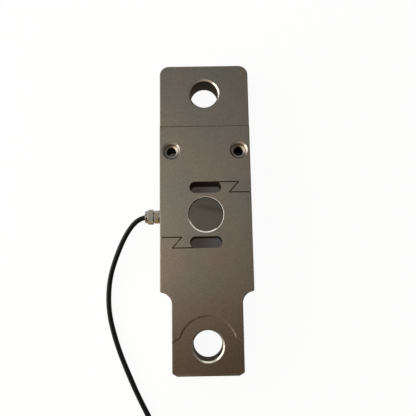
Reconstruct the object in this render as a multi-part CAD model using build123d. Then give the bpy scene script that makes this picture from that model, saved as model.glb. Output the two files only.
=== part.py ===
from build123d import *
import math
import os

# Sizes are in millimetres. The plate lies on its back: X runs across it, Y along it towards
# the upper bore and Z up out of its front face. The origin lies on the back plane, below the
# centre of the gauge recess. Front and rear are alike, mirrored in the plate's middle plane.

# Plate
plate_width = 95.0
plate_thickness = 30.0
bore_spacing = 262.0
bore_diameter = 30.0
bore_chamfer = 1.6
upper_bore_to_end = 31.6
lower_bore_to_end = 29.5
top_corner_radius = 10.0
edge_break = 0.6

# Lower tab below two concave shoulders
tab_width = 71.5
shoulder_top = -78.5
shoulder_corner_radius = 2.0
foot_corner_across = 5.0
foot_corner_along = 3.8
foot_bevel = 3.2

# Lands milled back from both faces round the two bores, with walls that slope at 45 degrees.
# The places are those of the foot of the wall.
land_depth = 1.5
upper_step = 95.4
lower_land_radius = 28.3
lower_land_edge = -128.3
lower_land_slope = 31.0
lower_land_blend = 3.0

# Counterbored holes for the housing
bolt_spacing = 71.0
bolt_height = 68.0
bolt_hole_diameter = 10.0
counterbore_diameter = 15.0
counterbore_depth = 6.0
counterbore_chamfer = 2.0

# Slots above and below the gauge recess, and the wire cuts that join them to the sides
slot_length = 33.3
slot_width = 12.0
slot_offset = 28.5
wire_gap = 1.0
cut_corner_x = 34.6
cut_return_x = 24.8

# Gauge recess: a pocket from each face down to a thin web, each closed by a disc
web_thickness = 4.0
cover_diameter = 35.4
cover_seat_width = 2.2
cover_thickness = 1.6
cover_recess = 0.5
cover_rim_chamfer = 0.8
cover_clearance = 0.1
cover_edge_break = 0.2
gasket_thickness = 0.5
gasket_overhang = 0.3

# Cable entry: a threaded hole in the left side, then a passage to both pockets
entry_diameter = 12.0
entry_depth = 11.0
entry_clearance = 0.05
passage_diameter = 9.0
passage_overlap = 0.05

# Cable gland, measured outwards from the side of the plate
gland_washer_thickness = 1.0
gland_collar_diameter = 14.5
gland_collar_length = 1.5
gland_body_flats = 12.0
gland_body_length = 4.9
gland_chamber_length = 4.6
gland_chamber_diameter = 9.6
gland_chamber_wall = 0.9
gland_nut_flats = 14.0
gland_nut_length = 6.2
gland_nose_diameter = 13.3
gland_nose_length = 2.9
gland_mouth_diameter = 6.4
gland_flare = 1.8
gland_thread_clearance = 0.1
gland_shank_length = 10.0
gland_shank_chamfer = 0.6
gland_collar_chamfer = 0.3
gland_washer_inset = 0.3
gland_nose_chamfer = 0.7
gland_throat_cone = 1.2
gland_nut_gap = 0.2
hex_chamfer_length = 0.54
hex_chamfer_depth = 0.1
claw_thickness = 0.8
claw_clearance = 0.1
claw_fingers = 6
claw_slot = 0.9
claw_slot_share = 0.6
seal_clearance = 0.05
seal_setback = 0.4
bore_around_cable = 0.4

# Strain gauges on both faces of the web
gauge_length = 10.4
gauge_width = 8.0
gauge_film = 0.1
foil_thickness = 0.05
foil_line = 0.22
foil_pitch = 0.5
foil_lines = 7
foil_reach = 3.6
foil_spacing = 5.0
foil_tab = 0.9
gauge_lead_diameter = 0.25
gauge_lead_pitch = 2.0
gauge_lead_air = 0.02
gauge_lead_grip = 1.4
gauge_lead_bend = 0.4

# Terminal strips, trimming board and chip resistors
terminal_length = 7.0
terminal_width = 3.0
terminal_thickness = 0.8
terminal_gap = 2.5
terminal_pad = 0.1
terminal_pad_width = 1.3
terminal_pad_inset = 0.3
board_gauge_gap = 2.0
board_wall_gap = 3.5
board_end_gap = 0.8
board_thickness = 1.0
board_corner_radius = 0.8
resistor_length = 2.0
resistor_width = 1.2
resistor_height = 0.5
resistor_count = 3
resistor_pitch = 2.6
resistor_start = -1.2

# Cable: four insulated cores in a round jacket
cable_diameter = 5.3
jacket_end = 11.5
core_diameter = 0.8
core_pitch = 1.4
core_row_pitch = 1.0
core_count = 4
core_end_inset = 1.0
core_straight = 3.0
core_crossing = 6.0
wire_diameter = 0.5
wire_pitch = 0.7
wire_count = 3
wire_air = 0.2
wire_row = 0.6
wire_wall_gap = 1.0
wire_end = 0.1
wire_lap = 1.5
wire_turn = 2.5
wire_column = 6.0
floor_air = 0.05
arc_share = 0.45

# Cable outside the gland, from the gland's seal to the coil: distance left of the plate's side,
# place along the plate, and height as a share of the gland's height (0 is lying on the floor).
cable_route = [
    (9.5, 0.0, 1.0),
    (16.0, 0.0, 1.0),
    (23.6, -2.4, 0.99),
    (29.8, -7.6, 0.95),
    (35.5, -15.2, 0.87),
    (42.0, -26.5, 0.70),
    (49.3, -43.5, 0.43),
    (55.3, -62.0, 0.18),
    (57.3, -82.0, 0.04),
    (56.1, -101.0, 0.0),
    (51.3, -120.5, 0.0),
    (44.3, -141.0, 0.0),
    (35.7, -161.0, 0.0),
    (26.3, -181.5, 0.0),
    (15.0, -203.0, 0.0),
    (4.8, -221.1, 0.0),
    (-6.0, -238.9, 0.0),
    (-17.3, -255.8, 0.0),
    (-29.8, -273.3, 0.0),
]

# Coil of the spare cable, lying on the floor below the plate: two layers of flat turns
coil_right = 59.5
coil_along = -252.5
coil_inner_turn = 19.8
coil_outer_turn = 36.3
coil_layer_pitch = 5.4
coil_edge = 1.6

# Loose end of the cable: angle round the coil, distance from its centre, and height as a share
# of the step between the floor and the coil's second layer.
tail_route = [
    (-118.0, 35.6, 1.0),
    (-92.0, 39.6, 1.0),
    (-66.0, 43.4, 0.6),
    (-43.0, 43.2, 0.0),
    (-22.0, 42.6, 0.0),
]
sleeve_wall = 0.45
sleeve_length = 16.0
lead_diameter = 1.1
lead_tip_diameter = 0.7
lead_tip_length = 5.0
lead_grip = 1.3
lead_start = 1.5
lead_drop = 12.0
lead_run = 24.0
lead_fan = 4.2
lead_fan_near = 0.45
lead_fan_far = 1.3
lead_middle = 1.7
lead_seats = [162, 234, 90, 306, 18]

# Places worked out from the sizes above
left_side = -plate_width / 2
mid_z = plate_thickness / 2
web_top = mid_z + web_thickness / 2
upper_end = bore_spacing / 2 + upper_bore_to_end
lower_end = -bore_spacing / 2 - lower_bore_to_end
land_top = plate_thickness - land_depth
seat_radius = cover_diameter / 2
seat_z = plate_thickness - cover_recess - cover_thickness - gasket_thickness
pocket_radius = seat_radius - cover_seat_width
terminal_offset = -(gauge_width + terminal_width) / 2 - terminal_gap
board_inner = gauge_width / 2 + board_gauge_gap
board_outer = pocket_radius - board_wall_gap
board_width = board_outer - board_inner
board_offset = (board_outer + board_inner) / 2
board_length = 2 * (math.sqrt(pocket_radius**2 - board_outer**2) - board_end_gap)
collar_face = left_side - gland_washer_thickness - gland_collar_length
chamber_foot = collar_face - gland_body_length
nut_foot = chamber_foot - gland_nut_gap
nut_shoulder = nut_foot - gland_nut_length
nut_face = nut_shoulder - gland_nose_length
cable_start = left_side - cable_route[0][0]
floor_z = cable_diameter / 2 + floor_air
sleeve_z = floor_z + sleeve_wall
coil_x = left_side + coil_right
middle_plane = Plane(origin=(0, 0, mid_z), z_dir=(0, 0, 1))
overcut = 1.0
same_place = 0.01


def arc_radii(points):
    """Radius at each inner point: a share of its shorter run over the tangent of half its turn."""
    radii = []
    for before, corner, after in zip(points, points[1:], points[2:]):
        run_in = Vector(*corner) - Vector(*before)
        run_out = Vector(*after) - Vector(*corner)
        half_turn = math.radians(run_in.get_angle(run_out)) / 2
        radii.append(arc_share * min(run_in.length, run_out.length) / math.tan(half_turn))
    return radii


def round_path(points):
    return FilletPolyline(*points, radius=arc_radii(points))


def tube(points, diameter):
    """A round bar along straight runs joined by tangent arcs."""
    path = round_path(points)
    start = Plane(origin=path @ 0, z_dir=path % 0)
    return sweep(start * Circle(diameter / 2), path=path)


def bent_wire(points, diameter):
    """A fine wire along straight runs, mitred at its bends."""
    path = Polyline(*points)
    start = Plane(origin=path @ 0, z_dir=path % 0)
    return sweep(start * Circle(diameter / 2), path=path, transition=Transition.RIGHT)


def turned(profile, axis=Axis.Z):
    """A solid of revolution from the outline of half its section."""
    return revolve(make_face(Polyline(*profile, close=True)), axis=axis)


def turned_on_gland(profile):
    """A solid turned about the gland's axis, from (x, radius) points."""
    section = [(x, 0, mid_z + radius) for x, radius in profile]
    return turned(section, Axis((0, 0, mid_z), (1, 0, 0)))


def plate_outline():
    """Front view of the plate: round upper corners, concave shoulders and a cut-cornered tab."""
    half = plate_width / 2
    tab = tab_width / 2
    radius = half - tab
    centre = shoulder_top - radius
    with BuildSketch() as outline:
        with BuildLine():
            Polyline(
                (0, lower_end),
                (tab - foot_corner_across, lower_end),
                (tab, lower_end + foot_corner_along),
                (tab, centre),
            )
            CenterArc((half, centre), radius, 90, 90)
            Polyline((half, shoulder_top), (half, upper_end), (0, upper_end))
            mirror(about=Plane.YZ)
        make_face()
        upper = outline.vertices().filter_by(lambda v: v.Y > upper_end - same_place)
        fillet(upper, top_corner_radius)
        shoulders = outline.vertices().filter_by(
            lambda v: abs(v.Y - shoulder_top) < same_place and abs(v.X) > half - same_place
        )
        fillet(shoulders, shoulder_corner_radius)
    return outline.sketch


def slab(outline, low, high, slope):
    """The outline raised between two heights, with its upper and lower edges cut at 45 degrees."""
    body = Pos(0, 0, low) * extrude(outline, high - low)
    rims = body.edges().filter_by(lambda e: abs(e.center().Z - low) < same_place)
    rims += body.edges().filter_by(lambda e: abs(e.center().Z - high) < same_place)
    return chamfer(rims, slope)


def full_thickness_area():
    """Front view, at the lands' level, of what the milled lands leave at full thickness."""
    half = plate_width / 2 + 2 * land_depth + overcut
    tab = tab_width / 2
    rise = math.tan(math.radians(lower_land_slope))
    inner = lower_land_radius - 2 * lower_land_blend
    bore_y = -bore_spacing / 2
    with BuildSketch() as area:
        with Locations((0, (upper_step + bore_y) / 2)):
            Rectangle(2 * half, upper_step - bore_y)
        with BuildLine():
            Polyline(
                (-half, lower_end),
                (-half, lower_land_edge - (half - tab) * rise),
                (-inner, lower_land_edge + (tab - inner) * rise),
                (inner, lower_land_edge + (tab - inner) * rise),
                (half, lower_land_edge - (half - tab) * rise),
                (half, lower_end),
                close=True,
            )
        make_face(mode=Mode.SUBTRACT)
        with Locations((0, bore_y)):
            Circle(lower_land_radius, mode=Mode.SUBTRACT)
        corners = area.vertices().filter_by(
            lambda v: inner < abs(v.X) < tab and v.Y < bore_y + lower_land_radius
        )
        fillet(corners, lower_land_blend)
    return area.sketch


def foot_wedge():
    """What the bevel takes off the front edge of the plate's lower end."""
    section = Plane.YZ * make_face(
        Polyline(
            (lower_end - overcut, land_top - foot_bevel - overcut),
            (lower_end + foot_bevel + overcut, land_top + overcut),
            (lower_end - overcut, land_top + overcut),
            close=True,
        )
    )
    return extrude(section, plate_width, both=True)


def bore_cutter(place):
    """A through bore, chamfered on both lands."""
    radius = bore_diameter / 2
    mouth = radius + bore_chamfer + overcut
    profile = [
        (0, 0, land_depth - overcut),
        (mouth, 0, land_depth - overcut),
        (radius, 0, land_depth + bore_chamfer),
        (radius, 0, land_top - bore_chamfer),
        (mouth, 0, land_top + overcut),
        (0, 0, land_top + overcut),
    ]
    return Pos(0, place, 0) * turned(profile)


def bolt_cutter(place):
    """A through hole with a chamfered counterbore in the front face."""
    hole = bolt_hole_diameter / 2
    head = counterbore_diameter / 2
    mouth = head + counterbore_chamfer + overcut
    floor = plate_thickness - counterbore_depth
    profile = [
        (0, 0, -overcut),
        (hole + edge_break + overcut, 0, -overcut),
        (hole, 0, edge_break),
        (hole, 0, floor),
        (head, 0, floor),
        (head, 0, plate_thickness - counterbore_chamfer),
        (mouth, 0, plate_thickness + overcut),
        (0, 0, plate_thickness + overcut),
    ]
    return Pos(place, bolt_height, 0) * turned(profile)


def recess_cutter():
    """The pocket in the front face: seat and rim for the cover, then down to the web."""
    profile = [
        (0, 0, web_top),
        (pocket_radius, 0, web_top),
        (pocket_radius, 0, seat_z),
        (seat_radius, 0, seat_z),
        (seat_radius, 0, plate_thickness - cover_rim_chamfer),
        (seat_radius + cover_rim_chamfer + overcut, 0, plate_thickness + overcut),
        (0, 0, plate_thickness + overcut),
    ]
    return turned(profile)


def wire_slit(points):
    """The path of a cutting wire: a slit with round ends between each pair of points."""
    slit = Sketch()
    for start, end in zip(points, points[1:]):
        run = Vector(*end) - Vector(*start)
        middle = (Vector(*start) + Vector(*end)) / 2
        angle = math.degrees(math.atan2(run.Y, run.X))
        slit += Pos(middle) * SlotCenterToCenter(run.length, wire_gap, rotation=angle)
    return slit


def upper_relief():
    """The upper slot and the Z-shaped cut from its top to the right-hand side."""
    slot = Pos(0, slot_offset) * SlotOverall(slot_length, slot_width)
    top = slot_offset + (slot_width - wire_gap) / 2
    low = slot_offset - (slot_width - wire_gap) / 2
    first = (slot_length - slot_width) / 2
    last = plate_width / 2 + overcut
    points = [(first, top), (cut_corner_x, top), (cut_return_x, low), (last, low)]
    return slot + wire_slit(points)


def entry_cutter():
    """The threaded entry in the left side and the passage behind it."""
    entry = entry_diameter / 2
    passage = passage_diameter / 2
    floor = left_side + entry_depth
    reach = -math.sqrt(pocket_radius**2 - passage**2) + passage_overlap
    profile = [
        (left_side - overcut, 0),
        (left_side - overcut, entry + edge_break + overcut),
        (left_side + edge_break, entry),
        (floor, entry),
        (floor, passage),
        (reach, passage),
        (reach, 0),
    ]
    return turned_on_gland(profile)


def sensing_element():
    """The one-piece plate, cut so that a load on the bores shears the web."""
    outline = plate_outline()
    plate = slab(outline, land_depth, land_top, edge_break)
    middle = slab(full_thickness_area(), 0, plate_thickness, land_depth)
    plate += slab(outline, 0, plate_thickness, edge_break) & middle
    wedge = foot_wedge()
    plate -= [wedge, mirror(wedge, about=middle_plane)]
    plate -= [bore_cutter(side * bore_spacing / 2) for side in (-1, 1)]
    plate -= [bolt_cutter(side * bolt_spacing / 2) for side in (-1, 1)]
    relief = Pos(0, 0, -overcut) * extrude(upper_relief(), plate_thickness + 2 * overcut)
    plate -= [relief, Rot(0, 0, 180) * relief]
    recess = recess_cutter()
    plate -= [recess, mirror(recess, about=middle_plane)]
    plate -= entry_cutter()
    return plate


def cover():
    """Disc that closes the front pocket, a little below the face."""
    radius = seat_radius - cover_clearance
    disc = Pos(0, 0, seat_z + gasket_thickness) * extrude(Circle(radius), cover_thickness)
    top = disc.edges().group_by(Axis.Z)[-1]
    return chamfer(top, cover_edge_break)


def gasket():
    """Flat ring between the cover and its seat."""
    ring = Circle(seat_radius - cover_clearance) - Circle(pocket_radius + gasket_overhang)
    return Pos(0, 0, seat_z) * extrude(ring, gasket_thickness)


def gauge_backing():
    """Film carrier glued to the web."""
    film = RectangleRounded(gauge_length, gauge_width, 3 * foil_line)
    return Pos(0, 0, web_top) * extrude(film, gauge_film)


def foil_grid():
    """One measuring grid: parallel lines joined at alternate ends into a single strip."""
    grid = Sketch()
    middle = (foil_lines - 1) / 2
    half = foil_reach / 2
    for index in range(foil_lines):
        x = (index - middle) * foil_pitch
        grid += Pos(x, 0) * Rectangle(foil_line, foil_reach)
    for index in range(foil_lines - 1):
        x = (index + 0.5 - middle) * foil_pitch
        end = half if index % 2 == 0 else -half
        grid += Pos(x, end) * Rectangle(foil_pitch + foil_line, 2 * foil_line)
    for side in (-1, 1):
        x = side * (middle * foil_pitch + foil_tab / 2)
        y = (foil_tab - foil_reach) / 2 - foil_line
        grid += Pos(x, y) * Rectangle(foil_tab, foil_tab)
    return grid


def gauge_foil():
    """Two grids at 45 degrees each way, which read the shear in the web."""
    level = Pos(0, 0, web_top + gauge_film)
    right = Pos(foil_spacing / 2, 0) * Rot(0, 0, -45) * foil_grid()
    left = Pos(-foil_spacing / 2, 0) * Rot(0, 0, 45) * foil_grid()
    return [level * extrude(grid, foil_thickness) for grid in (left, right)]


def terminal_strip():
    """Small strip with a solder pad for each gauge lead."""
    base = Pos(0, terminal_offset) * Rectangle(terminal_length, terminal_width)
    strip = Pos(0, 0, web_top) * extrude(base, terminal_thickness)
    for index in range(wire_count):
        x = (index - (wire_count - 1) / 2) * gauge_lead_pitch
        length = terminal_width - 2 * terminal_pad_inset
        pad = Pos(x, terminal_offset) * Rectangle(terminal_pad_width, length)
        strip += Pos(0, 0, web_top + terminal_thickness) * extrude(pad, terminal_pad)
    return strip


def gauge_leads():
    """Fine leads from the gauge's tabs to the terminal strip."""
    low = web_top + gauge_film + foil_thickness + gauge_lead_air + gauge_lead_diameter / 2
    high = web_top + terminal_thickness + terminal_pad + gauge_lead_air + gauge_lead_diameter / 2
    edge = -gauge_width / 2
    strip = terminal_offset + terminal_width / 2
    leads = []
    for index in range(wire_count):
        x = (index - (wire_count - 1) / 2) * gauge_lead_pitch
        points = [
            (x, edge + gauge_lead_grip, low),
            (x, edge - gauge_lead_bend, low),
            (x, strip + gauge_lead_bend, high),
            (x, terminal_offset, high),
        ]
        leads.append(bent_wire(points, gauge_lead_diameter))
    return leads


def trimming_board():
    """Board on the web above the gauge, where the cores are soldered."""
    outline = RectangleRounded(board_length, board_width, board_corner_radius)
    board = Pos(0, board_offset) * outline
    return Pos(0, 0, web_top) * extrude(board, board_thickness)


def trimming_resistors():
    """Chip resistors that balance and trim the bridge."""
    level = web_top + board_thickness + resistor_height / 2
    chips = []
    for index in range(resistor_count):
        x = index * resistor_pitch + resistor_start
        chips.append(
            Pos(x, board_offset, level) * Box(resistor_length, resistor_width, resistor_height)
        )
    return chips


def cable_cores():
    """Four insulated cores from the jacket's end, over the web and up onto the board."""
    level = web_top + board_thickness + core_diameter / 2 + floor_air
    jacket_x = left_side + jacket_end
    half = core_pitch / 2
    starts = [(half, half), (half, -half), (-half, half), (-half, -half)]
    cores = []
    for index, (y, z) in enumerate(starts):
        row = ((core_count - 1) / 2 - index) * core_row_pitch
        column = -board_length / 2 + core_end_inset + index * core_row_pitch
        points = [
            (jacket_x, y, mid_z + z),
            (jacket_x + core_straight, y, mid_z + z),
            (-pocket_radius - core_crossing, row, level),
            (column, row, level),
            (column, board_offset, level),
        ]
        cores.append(bent_wire(points, core_diameter))
    return cores


def rear_bridge_wires():
    """Wires from the rear strip, out into the passage and back over the web to the front."""
    level = web_top + wire_air + wire_diameter / 2
    below = 2 * mid_z - level
    strip = -terminal_length / 2 - wire_end
    wires = []
    for index in range(wire_count):
        lane = index * wire_pitch
        row = terminal_offset + wire_row - lane
        column = -pocket_radius + wire_column - lane
        gate = -wire_air - lane
        turn = -pocket_radius - wire_turn
        points = [
            (strip, row, below),
            (column, row, below),
            (column, gate, below),
            (turn, gate, below),
            (turn, gate, level),
            (column, gate, level),
            (column, row, level),
            (strip, row, level),
        ]
        wires.append(bent_wire(points, wire_diameter))
    return wires


def front_bridge_wires():
    """Wires from the front strip round the gauge to the right-hand end of the board."""
    level = web_top + board_thickness + floor_air + wire_diameter / 2
    spread = (wire_count - 1) * wire_pitch
    last_row = terminal_offset + wire_row - spread
    last_column = math.sqrt((pocket_radius - wire_wall_gap) ** 2 - last_row**2)
    wires = []
    for index in range(wire_count):
        lane = index * wire_pitch
        column = last_column - spread + lane
        row = terminal_offset + wire_row - lane
        end_row = board_offset - wire_lap + lane
        points = [
            (terminal_length / 2 - wire_diameter, row, level),
            (column, row, level),
            (column, end_row, level),
            (board_length / 2 - wire_lap, end_row, level),
        ]
        wires.append(bent_wire(points, wire_diameter))
    return wires


def hexagon(flats, start, end):
    """A hexagonal bar on the gland's axis, its corners turned off at both ends."""
    corner = flats / math.sqrt(3)
    plane = Plane(origin=(end, 0, mid_z), x_dir=(0, 1, 0), z_dir=(1, 0, 0))
    bar = extrude(plane * RegularPolygon(corner, 6), start - end)
    trim = corner - flats / 2 + hex_chamfer_depth
    profile = [
        (end, 0),
        (end, corner - trim),
        (end + hex_chamfer_length, corner),
        (start - hex_chamfer_length, corner),
        (start, corner - trim),
        (start, 0),
    ]
    return bar & turned_on_gland(profile)


def gland_washer():
    """Sealing washer under the gland's collar."""
    inner = entry_diameter / 2 + entry_clearance
    outer = gland_collar_diameter / 2 - gland_washer_inset
    face = left_side - gland_washer_thickness
    return turned_on_gland([(left_side, inner), (face, inner), (face, outer), (left_side, outer)])


def gland_body():
    """Shank, round collar and hexagon in one, with the chamber that holds the claw."""
    shank = entry_diameter / 2 - entry_clearance
    collar = gland_collar_diameter / 2
    chamber = gland_chamber_diameter / 2
    tip = left_side + gland_shank_length
    top = chamber_foot - gland_chamber_length
    step = left_side - gland_washer_thickness
    outer = turned_on_gland(
        [
            (tip, 0),
            (tip, shank - gland_shank_chamfer),
            (tip - gland_shank_chamfer, shank),
            (step, shank),
            (step, collar - gland_collar_chamfer),
            (step - gland_collar_chamfer, collar),
            (collar_face, collar),
            (collar_face, chamber + gland_chamber_wall),
            (top, chamber + gland_chamber_wall),
            (top, 0),
        ]
    )
    outer += hexagon(gland_body_flats, collar_face, chamber_foot)
    cable_bore = cable_diameter / 2 + bore_around_cable
    inner = turned_on_gland(
        [
            (tip + overcut, 0),
            (tip + overcut, cable_bore),
            (chamber_foot, cable_bore),
            (chamber_foot, chamber),
            (top - overcut, chamber),
            (top - overcut, 0),
        ]
    )
    return outer - inner


def gland_nut():
    """Hexagonal nut with a round nose and a flared mouth for the cable."""
    thread = gland_chamber_diameter / 2 + gland_chamber_wall + gland_thread_clearance
    mouth = gland_mouth_diameter / 2
    nose = gland_nose_diameter / 2
    nut = hexagon(gland_nut_flats, nut_foot, nut_shoulder)
    nut += turned_on_gland(
        [
            (nut_shoulder + overcut, 0),
            (nut_shoulder + overcut, nose),
            (nut_face + gland_nose_chamfer, nose),
            (nut_face, nose - gland_nose_chamfer),
            (nut_face, 0),
        ]
    )
    nut -= turned_on_gland(
        [
            (nut_foot + overcut, 0),
            (nut_foot + overcut, thread),
            (nut_shoulder + gland_throat_cone, thread),
            (nut_shoulder, mouth),
            (nut_face + gland_flare, mouth),
            (nut_face - overcut, mouth + gland_flare + overcut),
            (nut_face - overcut, 0),
        ]
    )
    return nut


def claw_radii():
    outer = gland_chamber_diameter / 2 - claw_clearance
    return outer - claw_thickness, outer


def gland_claw():
    """Plastic sleeve in the chamber, slotted into fingers that the nut presses inwards."""
    inner, outer = claw_radii()
    top = chamber_foot - gland_chamber_length - claw_clearance
    foot = chamber_foot - claw_clearance
    ring = turned_on_gland([(foot, inner), (foot, outer), (top, outer), (top, inner)])
    for index in range(claw_fingers):
        reach = 2 * gland_chamber_length * claw_slot_share
        cut = Pos(top, 0, mid_z + outer) * Box(reach, claw_slot, 2 * outer)
        spin = index * 360 / claw_fingers
        ring -= cut.rotate(Axis((0, 0, mid_z), (1, 0, 0)), spin)
    return ring


def gland_seal():
    """Rubber bush between the claw and the cable."""
    claw_inner, _ = claw_radii()
    inner = cable_diameter / 2 + seal_clearance
    outer = claw_inner - seal_clearance
    top = chamber_foot - gland_chamber_length + seal_setback
    foot = chamber_foot - claw_clearance
    return turned_on_gland([(foot, inner), (foot, outer), (top, outer), (top, inner)])


def cable_inner_end():
    """The cable's jacketed end, through the gland and into the entry."""
    radius = cable_diameter / 2
    inner = left_side + jacket_end
    return turned_on_gland([(inner, 0), (inner, radius), (cable_start, radius), (cable_start, 0)])


def route_points():
    """The cable's points: x from the plate's side, y, and z from the share of the gland's height."""
    return [(left_side - out, y, floor_z + share * (mid_z - floor_z)) for out, y, share in cable_route]


def coil():
    """The outer form of the coil: a ring as wide and as high as its turns, its edges cut."""
    inner = coil_inner_turn - cable_diameter / 2 - floor_air
    outer = coil_outer_turn + cable_diameter / 2 + floor_air
    high = floor_air + coil_layer_pitch + cable_diameter
    ring = extrude(Circle(outer) - Circle(inner), high - floor_air)
    ring = chamfer(ring.edges(), coil_edge)
    return Pos(coil_x, coil_along, floor_air) * ring


def cable_tube():
    """The cable from the gland to the coil, lying on the floor for most of its way."""
    return tube(route_points(), cable_diameter) - coil()


def tail_points():
    """The loose end's points, from angle and distance round the coil and a share of the height."""
    points = []
    for angle, distance, share in tail_route:
        turn = math.radians(angle)
        x = coil_x + distance * math.cos(turn)
        y = coil_along + distance * math.sin(turn)
        points.append((x, y, sleeve_z + share * (floor_z + coil_layer_pitch - sleeve_z)))
    return points


def cable_tail():
    """The loose end, from the top layer of the coil down to the floor."""
    return tube(tail_points(), cable_diameter) - coil()


def sleeve_frame():
    """Plane at the end of the jacket: Z along the sleeve and X level."""
    last, end = tail_points()[-2:]
    along = Vector(*end) - Vector(*last)
    level = Vector(-along.Y, along.X, 0)
    return Plane(origin=end, x_dir=level, z_dir=Vector(along.X, along.Y, 0))


def end_sleeve():
    """Shrunk sleeve over the end of the jacket."""
    outer = cable_diameter / 2 + sleeve_wall
    body = extrude(sleeve_frame() * Circle(outer), sleeve_length)
    return chamfer(body.edges(), sleeve_wall)


def lead_path(index):
    """Points of one loose lead: out of the sleeve, down to the floor and fanned out on it."""
    frame = sleeve_frame()
    side = index - lead_middle
    rest = lead_diameter / 2 + floor_air - sleeve_z
    turn = math.radians(lead_seats[index])
    across = lead_start * math.cos(turn)
    above = lead_start * math.sin(turn)
    spread = side * lead_fan
    local = [
        (across, above, sleeve_length),
        (across, above, sleeve_length + lead_grip),
        (spread * lead_fan_near, rest, sleeve_length + lead_drop),
        (spread, rest, sleeve_length + lead_drop + lead_run / 2),
        (spread * lead_fan_far, rest, sleeve_length + lead_drop + lead_run),
    ]
    return [frame.from_local_coords(point) for point in local]


def loose_lead(index):
    return bent_wire([tuple(point) for point in lead_path(index)], lead_diameter)


def lead_tips():
    """Tinned ends of the five leads."""
    tips = []
    for index in range(core_count + 1):
        before, end = lead_path(index)[-2:]
        plane = Plane(origin=end, z_dir=end - before)
        tips.append(extrude(plane * Circle(lead_tip_diameter / 2), lead_tip_length))
    return tips


def rear(shapes):
    return [mirror(shape, about=middle_plane) for shape in shapes]


def save(name, shapes):
    export_step(Compound(children=list(shapes), label=name), os.path.join("parts", name + ".step"))


def main():
    os.makedirs("parts", exist_ok=True)
    foil = gauge_foil()
    leads = gauge_leads()
    save("sensing_element", [sensing_element()])
    save("front_cover", [cover()])
    save("rear_cover", rear([cover()]))
    save("front_gasket", [gasket()])
    save("rear_gasket", rear([gasket()]))
    save("front_gauge_backing", [gauge_backing()])
    save("rear_gauge_backing", rear([gauge_backing()]))
    save("front_gauge_foil", foil)
    save("rear_gauge_foil", rear(foil))
    save("front_gauge_leads", leads)
    save("rear_gauge_leads", rear(leads))
    save("front_terminal_strip", [terminal_strip()])
    save("rear_terminal_strip", rear([terminal_strip()]))
    save("trimming_board", [trimming_board()])
    save("trimming_resistors", trimming_resistors())
    save("front_bridge_wires", front_bridge_wires())
    save("rear_bridge_wires", rear_bridge_wires())
    for colour, core in zip(("red", "black", "green", "white"), cable_cores()):
        save(colour + "_core", [core])
    save("gland_washer", [gland_washer()])
    save("gland_body", [gland_body()])
    save("gland_claw", [gland_claw()])
    save("gland_seal", [gland_seal()])
    save("gland_nut", [gland_nut()])
    save("cable_inner_end", [cable_inner_end()])
    save("cable_tube", [cable_tube()])
    save("cable_coil", [coil()])
    save("cable_tail", [cable_tail()])
    save("end_sleeve", [end_sleeve()])
    for index, colour in enumerate(("red", "black", "shield", "green", "white")):
        save(colour + "_lead", [loose_lead(index)])
    save("lead_tips", lead_tips())
    for name, points in (("cable_tube", route_points()), ("cable_tail", tail_points())):
        path = round_path(points)
        section = math.pi * cable_diameter**2 / 4
        swept = tube(points, cable_diameter).volume
        print(name, "radii", [round(radius, 1) for radius in arc_radii(points)])
        print(name, "length", round(path.length, 1), "volume share", round(swept / section / path.length, 4))


main()
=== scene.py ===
"""Looks of a strain gauge load cell: finishes, cable, loose end, coil tie and studio.

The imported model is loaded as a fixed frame. Every CAD node that stays in view gets a finish; the
cable, its shrunk sleeve, its leads and their tips replace their own nodes, and the coil's tie is
only made here. Sizes in the dataclass fields are in millimetres and angles in degrees, unless a
docstring says otherwise; meshes are made in metres. Colours are linear.
"""

from __future__ import annotations

import functools
import logging
import math
from dataclasses import dataclass, field
from enum import Enum
from typing import Sequence, Union

import bpy
import numpy as np
from mathutils import Matrix, Vector

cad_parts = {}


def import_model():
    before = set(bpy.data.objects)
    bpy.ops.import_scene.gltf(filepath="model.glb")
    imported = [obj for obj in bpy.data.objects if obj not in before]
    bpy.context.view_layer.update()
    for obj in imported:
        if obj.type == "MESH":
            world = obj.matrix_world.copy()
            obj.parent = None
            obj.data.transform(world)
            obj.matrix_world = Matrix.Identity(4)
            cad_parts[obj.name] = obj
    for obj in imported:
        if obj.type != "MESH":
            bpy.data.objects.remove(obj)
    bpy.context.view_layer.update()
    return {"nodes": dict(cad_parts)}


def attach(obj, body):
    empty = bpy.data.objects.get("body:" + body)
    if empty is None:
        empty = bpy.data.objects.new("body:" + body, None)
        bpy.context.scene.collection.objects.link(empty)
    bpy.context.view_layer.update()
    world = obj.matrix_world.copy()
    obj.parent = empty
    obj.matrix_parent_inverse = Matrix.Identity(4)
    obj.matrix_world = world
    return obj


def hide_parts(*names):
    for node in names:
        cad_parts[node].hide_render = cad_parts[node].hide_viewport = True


LOG = logging.getLogger("load_cell")
MM = 0.001
ROOT = "root"
CURVE_RUNS = 12
SHARP = 50.0
UP = np.array((0.0, 0.0, 1.0))
FULL_WHITE = (1.0, 1.0, 1.0)

Band = tuple[float, float]
Circle = tuple[float, float, float]
Color = tuple[float, float, float]
Sockets = dict[Union[str, int], object]
Skin = tuple[np.ndarray, np.ndarray, np.ndarray]


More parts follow.
